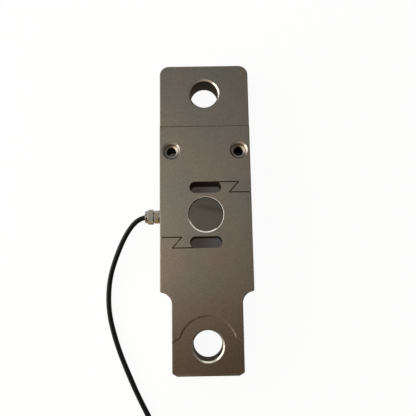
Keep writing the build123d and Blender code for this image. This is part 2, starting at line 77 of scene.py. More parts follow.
class Signal:
    """What one shader socket puts out, with arithmetic that adds Math nodes to its graph."""

    def __init__(self, graph: "Graph", socket: bpy.types.NodeSocket) -> None:
        """Keeps the graph and the output socket."""
        self.graph = graph
        self.socket = socket

    def __add__(self, other: "Operand") -> "Signal":
        """Sum."""
        return self.graph.math("ADD", self, other)

    def __radd__(self, other: float) -> "Signal":
        """Sum with a number on the left."""
        return self.graph.math("ADD", other, self)

    def __sub__(self, other: "Operand") -> "Signal":
        """Difference."""
        return self.graph.math("SUBTRACT", self, other)

    def __rsub__(self, other: float) -> "Signal":
        """Difference from a number."""
        return self.graph.math("SUBTRACT", other, self)

    def __mul__(self, other: "Operand") -> "Signal":
        """Product."""
        return self.graph.math("MULTIPLY", self, other)

    def __rmul__(self, other: float) -> "Signal":
        """Product with a number on the left."""
        return self.graph.math("MULTIPLY", other, self)

    def __truediv__(self, other: "Operand") -> "Signal":
        """Quotient."""
        return self.graph.math("DIVIDE", self, other)

    def __rtruediv__(self, other: float) -> "Signal":
        """Quotient of a number."""
        return self.graph.math("DIVIDE", other, self)

    def sine(self) -> "Signal":
        """Sine of an angle in radians."""
        return self.graph.math("SINE", self)

    def fraction(self) -> "Signal":
        """What is left after the whole part is taken away."""
        return self.graph.math("FRACT", self)

    def size(self) -> "Signal":
        """The value without its sign."""
        return self.graph.math("ABSOLUTE", self)

    def root(self) -> "Signal":
        """Square root."""
        return self.graph.math("SQRT", self)

    def at_least(self, other: "Operand") -> "Signal":
        """The larger of two values."""
        return self.graph.math("MAXIMUM", self, other)

    def step(self, low: float, high: float) -> "Signal":
        """Smooth rise from 0 at low to 1 at high.

        Args:
            low: where it starts.
            high: where it ends, which may be below low.

        Returns:
            The step.
        """
        sockets = {"Value": self, "From Min": low, "From Max": high}
        settings = {"interpolation_type": "SMOOTHSTEP"}
        return self.graph.add("ShaderNodeMapRange", settings, sockets)


Operand = Union[Signal, float]


class Graph:
    """A node tree that is built from Python expressions."""

    def __init__(self, tree: bpy.types.NodeTree) -> None:
        """Empties the tree."""
        self.tree = tree
        tree.nodes.clear()

    def place(self, kind: str, settings: dict[str, object], sockets: Sockets) -> bpy.types.Node:
        """Adds a node.

        Args:
            kind: the node's type.
            settings: its properties, which are set first.
            sockets: a value or a Signal for each named or numbered input.

        Returns:
            The node.
        """
        node = self.tree.nodes.new(kind)
        for name, value in settings.items():
            setattr(node, name, value)
        for key, value in sockets.items():
            if isinstance(value, Signal):
                self.tree.links.new(value.socket, node.inputs[key])
            else:
                node.inputs[key].default_value = value
        return node

    def add(
        self, kind: str, settings: dict[str, object], sockets: Sockets, output: str | int = 0
    ) -> Signal:
        """Adds a node and returns one of its outputs.

        Args:
            kind: the node's type.
            settings: its properties.
            sockets: its inputs.
            output: the name or number of the output.

        Returns:
            The output as a Signal.
        """
        return Signal(self, self.place(kind, settings, sockets).outputs[output])

    def math(self, operation: str, *operands: Operand) -> Signal:
        """Adds one Math node."""
        return self.add("ShaderNodeMath", {"operation": operation}, dict(enumerate(operands)))

    def point(self) -> Signal:
        """Object coordinates, in metres."""
        return self.add("ShaderNodeTexCoord", {}, {}, "Object")

    def rays(self, *kinds: str) -> list[Signal]:
        """1 on rays of each kind, such as Is Camera Ray."""
        node = self.place("ShaderNodeLightPath", {}, {})
        return [Signal(self, node.outputs[kind]) for kind in kinds]

    def axes(self, vector: Signal) -> tuple[Signal, Signal, Signal]:
        """The three parts of a vector."""
        node = self.place("ShaderNodeSeparateXYZ", {}, {"Vector": vector})
        return tuple(Signal(self, output) for output in node.outputs)

    def millimetres(self, point: Signal) -> tuple[Signal, Signal, Signal]:
        """The three parts of a point, brought from metres to millimetres."""
        return tuple(part / MM for part in self.axes(point))

    def noise(self, vector: Signal, size: float, detail: float = 2.0) -> Signal:
        """Smooth noise from 0 to 1 whose blotches are about this many millimetres wide."""
        sockets = {"Vector": vector, "Scale": 1.0 / (size * MM), "Detail": detail}
        return self.add("ShaderNodeTexNoise", {}, sockets, "Fac")

    def cells(self, vector: Signal, size: float) -> Signal:
        """Distance to the nearest of scattered points about this many millimetres apart."""
        sockets = {"Vector": vector, "Scale": 1.0 / (size * MM)}
        return self.add("ShaderNodeTexVoronoi", {}, sockets, "Distance")

    def blend(self, factor: Operand, first: object, second: object) -> Signal:
        """Mixes two colours.

        Args:
            factor: 0 for the first, 1 for the second, clamped to that.
            first: a colour or a Signal that carries one.
            second: the same.

        Returns:
            The mixed colour.
        """
        settings = {"data_type": "RGBA", "clamp_factor": True}
        colors = [c if isinstance(c, Signal) else (*c, 1.0) for c in (first, second)]
        sockets = {0: factor, 6: colors[0], 7: colors[1]}
        return self.add("ShaderNodeMix", settings, sockets, 2)

    def dimmed(self, color: Signal, shade: Signal) -> Signal:
        """A colour times a shade."""
        settings = {"operation": "SCALE"}
        return self.add("ShaderNodeVectorMath", settings, {0: color, "Scale": shade})

    def bump(self, height: Signal, distance: float, normal: Signal | None = None) -> Signal:
        """Tilts a normal by a height.

        Args:
            height: the height, from 0 to 1.
            distance: the millimetres that a height of 1 stands for.
            normal: the normal to start from, or None for the surface's own.

        Returns:
            The tilted normal.
        """
        sockets = {"Height": height, "Distance": distance * MM, "Strength": 1.0}
        if normal is not None:
            sockets["Normal"] = normal
        return self.add("ShaderNodeBump", {}, sockets)

    def soft_edges(self, radius: float) -> Signal:
        """A normal that rounds edges by this radius in millimetres."""
        return self.add("ShaderNodeBevel", {"samples": 6}, {"Radius": radius * MM})


def radius_at(x: Signal, y: Signal) -> Signal:
    """Distance of the place (x, y) from the origin."""
    return (x * x + y * y).root()


@dataclass(frozen=True)
class Finish:
    """A surface finish. Subclasses give its pattern.

    The edge is the radius by which sharp edges look rounded. The fixed values are set on further
    sockets of the shader.
    """

    name: str
    color: Color
    roughness: float
    metallic: float = 0.0
    edge: float = 0.0
    fixed: tuple[tuple[str, object], ...] = ()

    def pattern(self, graph: Graph) -> Sockets:
        """Sockets of the shader that vary over the surface."""
        return {}

    def normal(self, graph: Graph) -> Signal | None:
        """The normal before any bump, with edges rounded where the finish asks for it."""
        return graph.soft_edges(self.edge) if self.edge else None

    @functools.cache
    def material(self) -> bpy.types.Material:
        """Builds the material once and returns it from then on.

        Returns:
            The material.
        """
        material = bpy.data.materials.new(self.name)
        material.use_nodes = True
        graph = Graph(material.node_tree)
        sockets: Sockets = {
            "Base Color": (*self.color, 1.0),
            "Roughness": self.roughness,
            "Metallic": self.metallic,
        }
        sockets.update(dict(self.fixed))
        sockets.update(self.pattern(graph))
        shader = graph.add("ShaderNodeBsdfPrincipled", {}, sockets)
        graph.place("ShaderNodeOutputMaterial", {}, {"Surface": shader})
        return material


@dataclass(frozen=True)
class PaintedRimHighlight:
    """A painted white highlight round a disc, drawn as a pale crescent.

    Its amounts depend on the direction (cos, sin) from the disc's centre alone: each is a step,
    over its band, of that direction's dot product with the side where it is largest.
    """

    color: Color = (0.9, 0.89, 0.85)
    foot_side: Band = (-0.35, -0.94)
    foot_band: Band = (0.45, 0.75)
    thin_side: Band = (-0.97, 0.26)
    thin_band: Band = (0.55, 0.8)

    def amounts(self, x: Signal, y: Signal) -> tuple[Signal, Signal, Signal]:
        """Where it lies round the disc.

        Args:
            x: the place across the disc, from its centre, in any unit.
            y: the place along the disc, in the same unit.

        Returns:
            The distance from the centre, 1 where the painted highlight is thick at the disc's foot,
            and 1 where it is thin on the left.
        """
        distance = radius_at(x, y)
        cosine, sine = x / distance, y / distance
        foot = self.foot_side[0] * cosine + self.foot_side[1] * sine
        thinned = self.thin_side[0] * cosine + self.thin_side[1] * sine
        return distance, foot.step(*self.foot_band), thinned.step(*self.thin_band)


PAINTED_RIM_HIGHLIGHT = PaintedRimHighlight()


@dataclass(frozen=True)
class BlastedNickel(Finish):
    """Nickel over a fine blasted plate: clouded faces, bright turned edges, painted shade in bore
    walls, bolt holes, slots and on the rim round the disc, painted light and shade on milled
    slopes, a painted white highlight round the disc and a painted brown reflection towards the
    lower end.

    Circles are (x, y, radius). The slot is (x, y, half its length with its wire cut, half its
    width). Bands are the two values between which a mask rises. The uneven weights are those of
    mottle, speckle and grain. The land, rim and slope are depths from the middle plane.
    """

    cool: Color = (0.196, 0.185, 0.156)
    warm: Color = (0.219, 0.186, 0.153)
    warm_band: Band = (0.35, 0.65)
    # Painted reflection: a brown, darker tint towards the plate's lower end.
    painted_low_end_brown: Color = (0.164, 0.132, 0.102)
    painted_low_end_band: Band = (-60.0, -150.0)
    turned: Color = (0.5, 0.465, 0.4)
    turned_gloss: float = 0.13
    mouth: Color = (0.36, 0.322, 0.28)
    seat: Color = (0.33, 0.3, 0.265)
    # Painted shade: a near black that stands for the shade in bore walls, bolt holes and slots.
    painted_wall_shade: Color = (0.012, 0.01, 0.009)
    shaded_wall_matt: float = 0.38
    shaded_wall_dull: float = 0.4
    level: float = 0.98
    uneven: tuple[float, float, float] = (0.25, 0.8, 0.25)
    calm: float = 0.85
    cloud: float = 38.0
    mottle: float = 4.0
    mottle_matt: float = 0.1
    speckle: float = 1.3
    grain: float = 0.45
    grain_matt: float = 0.12
    relief: float = 0.012
    middle: float = 15.0
    bore: Circle = (0.0, 131.0, 15.0)
    bore_chamfer: float = 1.6
    land: float = 13.5
    slope_foot: Band = (13.52, 13.7)
    slope_top: Band = (14.95, 14.8)
    # Painted light and shade on milled slopes: lighter towards the plate's lower end, darker
    # towards its upper end.
    painted_slope_light: float = 0.7
    painted_slope_shade: float = 1.3
    painted_slope_turn: float = 20.0
    bolt: Circle = (35.5, 68.0, 5.0)
    bolt_mouth: float = 9.5
    bolt_floor: float = 8.9
    bolt_wall_shade: float = 0.65
    seat_band: Band = (0.35, 0.25)
    dished: float = 0.27
    rim: float = 18.5
    rim_lip: float = 0.12
    rim_depth: float = 14.15
    # Painted shade on the rim round the disc.
    painted_rim_shade: float = 0.6
    # Widths of the painted white highlight round the disc.
    highlight_thin: float = 0.22
    highlight_thick: float = 1.0
    slot: tuple[float, float, float, float] = (0.0, 28.5, 47.3, 6.3)
    slot_fade: float = 0.4
    slot_wall_shade: float = 0.45
    blur: float = 0.04

    def within(self, x: Signal, y: Signal, circle: Circle) -> Signal:
        """1 inside a circle, in millimetres."""
        distance = radius_at(x - circle[0], y - circle[1])
        return distance.step(circle[2] + self.blur, circle[2] - self.blur)

    def rim_marks(self, graph: Graph, point: Signal) -> tuple[Signal, Signal]:
        """Where the rim round the disc is, which takes painted shade, and where the painted white
        highlight lies on it.

        Args:
            graph: the material's graph.
            point: Object coordinates.

        Returns:
            1 on the rim, and 1 on the painted white highlight.
        """
        x, y, z = graph.millimetres(point)
        distance, foot, thinned = PAINTED_RIM_HIGHLIGHT.amounts(x, y)
        width = self.highlight_thin * (1.0 - thinned) + (self.highlight_thick - self.highlight_thin) * foot
        depth = (z - self.middle).size()
        inner = (distance - (self.rim - width)).step(-self.blur, self.blur)
        lip = self.rim + self.rim_lip
        outer = distance.step(lip + self.blur, lip - self.blur)
        ring = outer * depth.step(self.rim_depth, self.rim_depth + self.blur)
        return ring, ring * inner

    def dish(self, graph: Graph, point: Signal) -> tuple[Signal, Signal]:
        """Where a bolt's seat is, at the foot of its counterbore.

        Args:
            graph: the material's graph.
            point: Object coordinates.

        Returns:
            1 on the seat, and the distance from the bolt's axis in millimetres.
        """
        x, y, z = graph.millimetres(point)
        distance = radius_at(x.size() - self.bolt[0], y - self.bolt[1])
        top = self.middle + self.bolt_floor
        none, full = self.seat_band
        floor = z.step(top + none, top + full) * z.step(top - self.blur, top)
        return floor * distance.step(self.bolt_mouth, self.bolt_mouth - self.blur), distance

    def regions(self, graph: Graph, point: Signal) -> tuple[Signal, Signal, Signal, Signal]:
        """Which part of the plate the surface is.

        The plate is alike about its middle plane and both ways, so the masks are functions of
        |x|, |y| and |z - middle|, apart from the bolt holes at its upper end.

        Args:
            graph: the material's graph.
            point: Object coordinates.

        Returns:
            1 on a bore's chamfer, 1 in a counterbore, how much painted shade darkens the surface in
            bore walls, bolt holes and slots, and 1 on a milled slope.
        """
        x, y, z = graph.millimetres(point)
        depth = (z - self.middle).size()
        right, up = x.size(), y.size()
        bore_x, bore_y, bore_radius = self.bore
        bolt_x, bolt_y, bolt_radius = self.bolt
        slot_x, slot_y, half_length, half_width = self.slot
        chamfer_radius = bore_radius + self.bore_chamfer - self.blur
        in_bore = self.within(x, up, (bore_x, bore_y, chamfer_radius))
        in_bolt = self.within(right, y, (bolt_x, bolt_y, self.bolt_mouth - self.blur))
        in_hole = self.within(right, y, (bolt_x, bolt_y, bolt_radius + self.blur))
        chamfer_foot = self.land - self.bore_chamfer
        wall = depth.step(chamfer_foot, chamfer_foot - self.blur)
        top = self.middle + self.bolt_floor
        floor = z.step(top, top - self.blur)
        in_slot = (right - slot_x).step(half_length + self.blur, half_length)
        in_slot *= (up - slot_y).size().step(half_width + self.blur, half_width)
        in_slot *= depth.step(self.rim_depth, self.rim_depth - self.slot_fade)
        # Painted shade in bore walls, bolt holes and slots.
        painted_wall_shade = (in_bore * wall).at_least(self.bolt_wall_shade * in_hole * floor)
        painted_wall_shade = painted_wall_shade.at_least(self.slot_wall_shade * in_slot)
        turned = in_bore * (1.0 - wall)
        mouth = in_bolt * (1.0 - floor)
        slope = depth.step(*self.slope_foot) * depth.step(*self.slope_top)
        slope *= 1.0 - turned.at_least(mouth)
        return turned, mouth, painted_wall_shade, slope

    def pattern(self, graph: Graph) -> Sockets:
        """Clouds shift the tint, mottle and grain shift the shade and the roughness.

        Args:
            graph: the material's graph.

        Returns:
            The varying sockets.
        """
        point = graph.point()
        turned, mouth, painted_wall_shade, slope = self.regions(graph, point)
        smooth = turned.at_least(mouth)
        ring, painted_highlight = self.rim_marks(graph, point)
        seat, across = self.dish(graph, point)
        cloud = graph.noise(point, self.cloud, 3.0)
        mottle = graph.noise(point, self.mottle, 4.0)
        speckle = graph.noise(point, self.speckle, 3.0)
        grain = graph.noise(point, self.grain, 2.0)
        coarse, medium, fine = self.uneven
        uneven = coarse * (mottle - 0.5) + medium * (speckle - 0.5) + fine * (grain - 0.5)
        shade = self.level + uneven * (1.0 - self.calm * smooth)
        _, y, _ = graph.axes(point)
        upper = y.step(-self.painted_slope_turn * MM, self.painted_slope_turn * MM)
        # Painted light and shade: milled slopes lighter low down, darker high up.
        shade = shade * (1.0 + slope * (self.painted_slope_light - self.painted_slope_shade * upper))
        # Painted shade on the rim round the disc.
        shade = shade * (1.0 - self.painted_rim_shade * ring)
        start, end = self.painted_low_end_band
        tint = graph.blend(cloud.step(*self.warm_band), self.cool, self.warm)
        # Painted reflection: brown towards the plate's lower end.
        tint = graph.blend(y.step(start * MM, end * MM), tint, self.painted_low_end_brown)
        # The last tone is the painted shade in bore walls, bolt holes and slots.
        parts = (turned, mouth, seat, painted_wall_shade)
        for part, tone in zip(parts, (self.turned, self.mouth, self.seat, self.painted_wall_shade)):
            tint = graph.blend(part, tint, tone)
        # Painted highlight: a white crescent round the disc.
        color = graph.blend(painted_highlight, graph.dimmed(tint, shade), PAINTED_RIM_HIGHLIGHT.color)
        matt = self.mottle_matt * (mottle - 0.5) + self.grain_matt * (grain - 0.5)
        roughness = self.roughness + matt * (1.0 - smooth)
        roughness = roughness - self.turned_gloss * smooth + self.shaded_wall_matt * painted_wall_shade
        height = grain * (1.0 - self.calm * smooth) + seat * across * (self.dished / self.relief)
        normal = graph.bump(height, self.relief, self.normal(graph))
        metallic = (1.0 - self.shaded_wall_dull * painted_wall_shade) * (1.0 - painted_highlight)
        return {"Base Color": color, "Roughness": roughness, "Metallic": metallic, "Normal": normal}


@dataclass(frozen=True)
class TurnedSteel(Finish):
    """A disc faced on a lathe: faint rings round its centre, painted shade that darkens its upper
    part, a painted dark reflection streak and the painted white highlight at its foot.

    The dark reflection streak is (slope, height, half width). The painted highlight laps over the
    disc from the lap radius, and by lap_more further in at the foot.
    """

    ring: float = 0.35
    ring_share: float = 0.35
    grain: float = 0.5
    grain_share: float = 0.3
    relief: float = 0.0015
    smear: float = 9.0
    smear_band: Band = (0.3, 0.7)
    smear_shade: float = 0.88
    smear_matt: float = 0.12
    level: float = 1.06
    # Painted shade: the disc darker towards its top and along a painted reflection streak.
    painted_upper_shade: float = 0.2
    upper_band: Band = (-8.0, 15.0)
    reflection_streak: tuple[float, float, float] = (0.22, 7.2, 4.4)
    reflection_streak_core: float = 0.2
    reflection_streak_band: Band = (-13.0, -4.0)
    reflection_streak_dark: float = 0.22
    lap: float = 17.6
    lap_more: float = 0.3
    lap_blur: float = 0.12
    lap_foot: float = 0.2

    def pattern(self, graph: Graph) -> Sockets:
        """Rings are a sine of the distance from the centre, broken up by noise.

        The painted dark reflection streak lies along y = height - slope x.

        Args:
            graph: the material's graph.

        Returns:
            The varying sockets.
        """
        point = graph.point()
        x, y, _ = graph.millimetres(point)
        slope, height, half = self.reflection_streak
        aside = (y + slope * x - height).size()
        reflection_streak = aside.step(half, self.reflection_streak_core * half) * x.step(*self.reflection_streak_band)
        distance, foot, _ = PAINTED_RIM_HIGHLIGHT.amounts(x, y)
        # Painted highlight: the white crescent laps over the disc's edge.
        painted_highlight = (distance + self.lap_more * foot).step(self.lap, self.lap + self.lap_blur)
        painted_highlight = painted_highlight * foot.step(0.0, self.lap_foot)
        rings = (distance * (math.tau / self.ring)).sine()
        smear = graph.noise(point, self.smear, 3.0)
        grain = graph.noise(point, self.grain, 2.0)
        relief = 0.5 + self.ring_share * rings * smear + self.grain_share * (grain - 0.5)
        dull = [self.smear_shade * c for c in self.color]
        tint = graph.blend(smear.step(*self.smear_band), dull, self.color)
        upper = y.step(*self.upper_band)
        # Painted shade and reflection: darker towards the top and along the streak.
        shade = self.level - self.painted_upper_shade * upper - self.reflection_streak_dark * reflection_streak
        color = graph.blend(painted_highlight, graph.dimmed(tint, shade), PAINTED_RIM_HIGHLIGHT.color)
        normal = graph.bump(relief, self.relief, self.normal(graph))
        roughness = self.roughness + self.smear_matt * (smear - 0.5)
        metallic = self.metallic - self.metallic * painted_highlight
        return {"Base Color": color, "Roughness": roughness, "Metallic": metallic, "Normal": normal}


@dataclass(frozen=True)
class BrightPlating(Finish):
    """Bright nickel on turned brass, with fine tool lines round the gland's axis.

    The warm factor is what a warm stain and a painted warm reflection leave of the colour.
    """

    line: float = 0.3
    line_share: float = 0.3
    relief: float = 0.002
    blotch: float = 3.5
    blotch_matt: float = 0.14
    blotch_middle: float = 0.4
    stain_and_reflection: Color = (0.82, 0.56, 0.26)
    stain_and_reflection_band: Band = (0.5, 0.7)
    # Painted reflection: more warm blotches low down on the gland.
    painted_low_warmth: float = 0.2
    painted_low_warmth_band: Band = (-1.0, -7.0)

    def pattern(self, graph: Graph) -> Sockets:
        """Lines are a sine along the axis; a warm stain gathers in blotches, and a painted warm
        reflection adds more of them low down.

        Args:
            graph: the material's graph.

        Returns:
            The varying sockets.
        """
        point = graph.point()
        x, y, _ = graph.axes(point)
        lines = (x * (math.tau / (self.line * MM))).sine()
        blotch = graph.noise(point, self.blotch, 3.0)
        warm = [c * k for c, k in zip(self.color, self.stain_and_reflection)]
        start, end = self.painted_low_warmth_band
        # Painted reflection adds warm blotches low down.
        stain_and_reflection_mask = blotch + self.painted_low_warmth * y.step(start * MM, end * MM)
        color = graph.blend(stain_and_reflection_mask.step(*self.stain_and_reflection_band), self.color, warm)
        roughness = self.roughness + self.blotch_matt * (blotch - self.blotch_middle)
        height = 0.5 + self.line_share * lines * blotch
        normal = graph.bump(height, self.relief, self.normal(graph))
        return {"Base Color": color, "Roughness": roughness, "Normal": normal}


@dataclass(frozen=True)
class Jacket(Finish):
    """Extruded black jacket: fine grain, faint scuffs and a little dust."""

    dust: Color = (0.03, 0.029, 0.027)
    dust_share: float = 0.5
    speck: float = 1.6
    speck_band: Band = (0.12, 0.05)
    scuff: float = 7.0
    scuff_band: Band = (0.45, 0.7)
    scuff_matt: float = 0.16
    grain: float = 0.35
    grain_matt: float = 0.1
    relief: float = 0.015

    def pattern(self, graph: Graph) -> Sockets:
        """Grain and scuffs come from noise in space, dust from scattered specks.

        Args:
            graph: the material's graph.

        Returns:
            The varying sockets.
        """
        point = graph.point()
        grain = graph.noise(point, self.grain, 3.0)
        scuff = graph.noise(point, self.scuff, 4.0)
        specks = graph.cells(point, self.speck).step(*self.speck_band)
        dusty = self.dust_share * specks * scuff.step(*self.scuff_band)
        color = graph.blend(dusty, self.color, self.dust)
        matt = self.scuff_matt * (scuff - 0.5) + self.grain_matt * (grain - 0.5)
        normal = graph.bump(grain, self.relief)
        return {"Base Color": color, "Roughness": self.roughness + matt, "Normal": normal}


@dataclass(frozen=True)
class Insulation(Finish):
    """Smooth wire insulation, faintly blotched by handling."""

    blotch: float = 1.2
    blotch_band: Band = (0.35, 0.7)
    blotch_shade: float = 0.8
    blotch_matt: float = 0.12
    grain: float = 0.3
    relief: float = 0.006

    def pattern(self, graph: Graph) -> Sockets:
        """Blotches darken the colour a little and change the gloss.

        Args:
            graph: the material's graph.

        Returns:
            The varying sockets.
        """
        point = graph.point()
        blotch = graph.noise(point, self.blotch, 3.0)
        dark = [self.blotch_shade * c for c in self.color]
        color = graph.blend(blotch.step(*self.blotch_band), self.color, dark)
        roughness = self.roughness + self.blotch_matt * blotch
        normal = graph.bump(graph.noise(point, self.grain), self.relief)
        return {"Base Color": color, "Roughness": roughness, "Normal": normal}


@dataclass(frozen=True)
class Speckled(Finish):
    """A plain moulded or bonded surface: two tones in fine blotches over a small relief."""

    second: Color = (0.0, 0.0, 0.0)
    second_band: Band = (0.35, 0.65)
    blotch: float = 1.5
    fineness: float = 0.25
    fine_matt: float = 0.15
    relief: float = 0.01

    def pattern(self, graph: Graph) -> Sockets:
        """Blotches mix the two tones; a finer noise gives the relief.

        Args:
            graph: the material's graph.

        Returns:
            The varying sockets.
        """
        point = graph.point()
        blotch = graph.noise(point, self.blotch, 4.0)
        fine = graph.noise(point, self.fineness * self.blotch, 2.0)
        color = graph.blend(blotch.step(*self.second_band), self.color, self.second)
        roughness = self.roughness + self.fine_matt * (fine - 0.5)
        normal = graph.bump(fine, self.relief, self.normal(graph))
        return {"Base Color": color, "Roughness": roughness, "Normal": normal}


@dataclass(frozen=True)
class Laminate(Finish):
    """Glass-fibre laminate: a plain weave under lacquer, with copper traces if it has a pitch.

    The trace is their pitch, the lane the distances from a lane's middle, in pitches, between
    which a trace ends, and raised the trace's share of the relief.
    """

    weave: float = 0.6
    weave_shade: float = 0.82
    weave_matt: float = 0.1
    copper: Color = (0.55, 0.33, 0.16)
    copper_share: float = 0.45
    trace: float = 0.0
    lane: Band = (0.2, 0.14)
    raised: float = 0.7
    relief: float = 0.012

    def pattern(self, graph: Graph) -> Sockets:
        """The weave is a sum of sines across and along; traces are wide lines along X.

        Args:
            graph: the material's graph.

        Returns:
            The varying sockets.
        """
        point = graph.point()
        x, y, _ = graph.axes(point)
        turn = math.tau / (self.weave * MM)
        weave = 0.5 + 0.25 * (x * turn).sine() + 0.25 * (y * turn).sine()
        color = graph.blend(weave, [self.weave_shade * c for c in self.color], self.color)
        height = weave
        if self.trace:
            from_middle = ((y / (self.trace * MM)).fraction() - 0.5).size()
            line = from_middle.step(*self.lane)
            color = graph.blend(self.copper_share * line, color, self.copper)
            height = (1.0 - self.raised) * weave + self.raised * line
        normal = graph.bump(height, self.relief, self.normal(graph))
        roughness = self.roughness + self.weave_matt * (weave - 0.5)
        return {"Base Color": color, "Roughness": roughness, "Normal": normal}


@dataclass(frozen=True)
class ChipBody(Finish):
    """Dark ceramic chips with tinned ends, a row of them at an even pitch along X."""

    tin: Color = (0.6, 0.59, 0.56)
    tin_gloss: float = 0.25
    first: float = -1.2
    pitch: float = 2.6
    half: float = 1.0
    cap: float = 0.35
    blur: float = 0.03
    grain: float = 0.2
    grain_matt: float = 0.1
    relief: float = 0.005

    def pattern(self, graph: Graph) -> Sockets:
        """The ends show where the distance from a chip's middle passes its half less the cap.

        Args:
            graph: the material's graph.

        Returns:
            The varying sockets.
        """
        point = graph.point()
        x, _, _ = graph.axes(point)
        place = (x / (self.pitch * MM) + (0.5 - self.first / self.pitch)).fraction()
        from_middle = (place - 0.5).size() * self.pitch
        body = self.half - self.cap
        ends = from_middle.step(body - self.blur, body + self.blur)
        grain = graph.noise(point, self.grain, 2.0)
        color = graph.blend(ends, self.color, self.tin)
        roughness = self.roughness - self.tin_gloss * ends + self.grain_matt * (grain - 0.5)
        normal = graph.bump(grain, self.relief, self.normal(graph))
        return {"Base Color": color, "Roughness": roughness, "Metallic": ends, "Normal": normal}


PLATE = BlastedNickel(
    "blasted_nickel", (0.21, 0.18, 0.145), 0.41, 1.0, edge=0.35,
    fixed=(("Specular Tint", (1.0, 0.78, 0.55, 1.0)),),
)
COVER = TurnedSteel("turned_cover_steel", (0.098, 0.09, 0.073), 0.3, 1.0, edge=0.12)
BRIGHT = BrightPlating("bright_nickel_on_brass", (0.25, 0.236, 0.212), 0.2, 1.0, edge=0.45)
WASHER = BrightPlating("matt_nickel_washer", (0.62, 0.58, 0.52), 0.34, 1.0, edge=0.1)
RUBBER = Speckled("black_seal_rubber", (0.02, 0.02, 0.021), 0.75, second=(0.035, 0.034, 0.033))
FILM = Speckled(
    "amber_gauge_film", (0.5, 0.26, 0.05), 0.25, second=(0.58, 0.33, 0.08), relief=0.002
)
FOIL = Speckled("gauge_foil", (0.55, 0.47, 0.37), 0.3, 1.0, second=(0.47, 0.39, 0.3), relief=0.002)
COPPER = Speckled(
    "bare_copper", (0.72, 0.4, 0.24), 0.3, 1.0, second=(0.58, 0.3, 0.17), relief=0.003
)
STRIP = Laminate("bare_strip_laminate", (0.56, 0.47, 0.24), 0.5, edge=0.08)
BOARD = Laminate("green_board_laminate", (0.03, 0.2, 0.09), 0.3, edge=0.08, trace=1.25)
CHIPS = ChipBody("chip_resistor", (0.03, 0.03, 0.032), 0.6, edge=0.06)
ENAMEL = Insulation("bridge_wire_coat", (0.62, 0.5, 0.28), 0.35)
RED = Insulation("red_wire_coat", (0.5, 0.02, 0.015), 0.32)
BLACK = Insulation("black_wire_coat", (0.012, 0.012, 0.013), 0.32)
GREEN = Insulation("green_wire_coat", (0.015, 0.24, 0.06), 0.32)
WHITE = Insulation("white_wire_coat", (0.74, 0.74, 0.71), 0.36)
YELLOW = Insulation("shield_sleeve", (0.66, 0.52, 0.03), 0.4)
NYLON = Speckled("pale_claw_nylon", (0.52, 0.52, 0.49), 0.45, second=(0.6, 0.6, 0.57), edge=0.05)
JACKET = Jacket(
    "black_cable_jacket", (0.004, 0.004, 0.0043), 0.42, fixed=(("Specular IOR Level", 0.15),)
)
SLEEVE = Jacket("shrunk_sleeve", (0.016, 0.016, 0.017), 0.55, relief=0.03)
TIE = Insulation("tie_coat", (0.02, 0.02, 0.021), 0.3)
TIN = Speckled(
    "tinned_strands", (0.62, 0.61, 0.58), 0.3, 1.0, second=(0.48, 0.47, 0.44), blotch=0.7
)

NODE_FINISHES: dict[str, Finish] = {
    "sensing_element": PLATE,
    "front_cover": COVER,
    "rear_cover": COVER,
    "front_gasket": RUBBER,
    "rear_gasket": RUBBER,
    "front_gauge_backing": FILM,
    "rear_gauge_backing": FILM,
    "front_gauge_foil": FOIL,
    "rear_gauge_foil": FOIL,
    "front_gauge_leads": COPPER,
    "rear_gauge_leads": COPPER,
    "front_terminal_strip": STRIP,
    "rear_terminal_strip": STRIP,
    "trimming_board": BOARD,
    "trimming_resistors": CHIPS,
    "front_bridge_wires": ENAMEL,
    "rear_bridge_wires": ENAMEL,
    "red_core": RED,
    "black_core": BLACK,
    "green_core": GREEN,
    "white_core": WHITE,
    "gland_washer": WASHER,
    "gland_body": BRIGHT,
    "gland_nut": BRIGHT,
    "gland_claw": NYLON,
    "gland_seal": RUBBER,
    "cable_inner_end": JACKET,
}

GLAND_NODES = (
    "gland_washer",
    "gland_body",
    "gland_nut",
    "gland_claw",
    "gland_seal",
    "cable_inner_end",
)


def link_piece(
    mesh: bpy.types.Mesh, finish: Finish, nodes: Sequence[str]
) -> bpy.types.Object:
    """Puts a mesh into the scene as a piece on the one body.

    Args:
        mesh: the piece's mesh, in place; the piece takes its name.
        finish: its finish.
        nodes: the CAD nodes that it stands for.

    Returns:
        The piece's object.
    """
    piece = bpy.data.objects.new(mesh.name, mesh)
    bpy.context.scene.collection.objects.link(piece)
    mesh.materials.append(finish.material())
    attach(piece, ROOT)
    if nodes:
        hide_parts(*nodes)
    LOG.info("piece %s: %d faces", mesh.name, len(mesh.polygons))
    return piece


def grid_skin(grid: np.ndarray, ring_closed: bool = False) -> Skin:
    """Makes a skin over rings of points.

    Face (i, j) joins point j of ring i to point j + 1 of ring i + 1. The rings are closed on
    themselves; the first and last are joined to each other, or closed by a fan round their mean.

    Args:
        grid: points in metres, shaped (rings, points in a ring, 3).
        ring_closed: whether the last ring is joined to the first one.

    Returns:
        Its points, its faces of four points and its faces of three.
    """
    rings, ring_points = grid.shape[:2]
    index = np.arange(rings * ring_points).reshape(rings, ring_points)
    lower = index if ring_closed else index[:-1]
    upper = np.roll(index, -1, axis=0) if ring_closed else index[1:]
    corners = (lower, upper, np.roll(upper, -1, axis=1), np.roll(lower, -1, axis=1))
    quads = np.stack(corners, axis=-1).reshape(-1, 4)
    points = grid.reshape(-1, 3)
    if ring_closed:
        return points, quads, np.empty((0, 3), int)
    follow = np.roll(index, -1, axis=1)
    start = np.full(ring_points, len(points))
    first_fan = np.stack((index[0], follow[0], start), axis=-1)
    last_fan = np.stack((follow[-1], index[-1], start + 1), axis=-1)
    ends = np.stack([grid[0].mean(axis=0), grid[-1].mean(axis=0)])
    return np.concatenate([points, ends]), quads, np.concatenate([first_fan, last_fan])


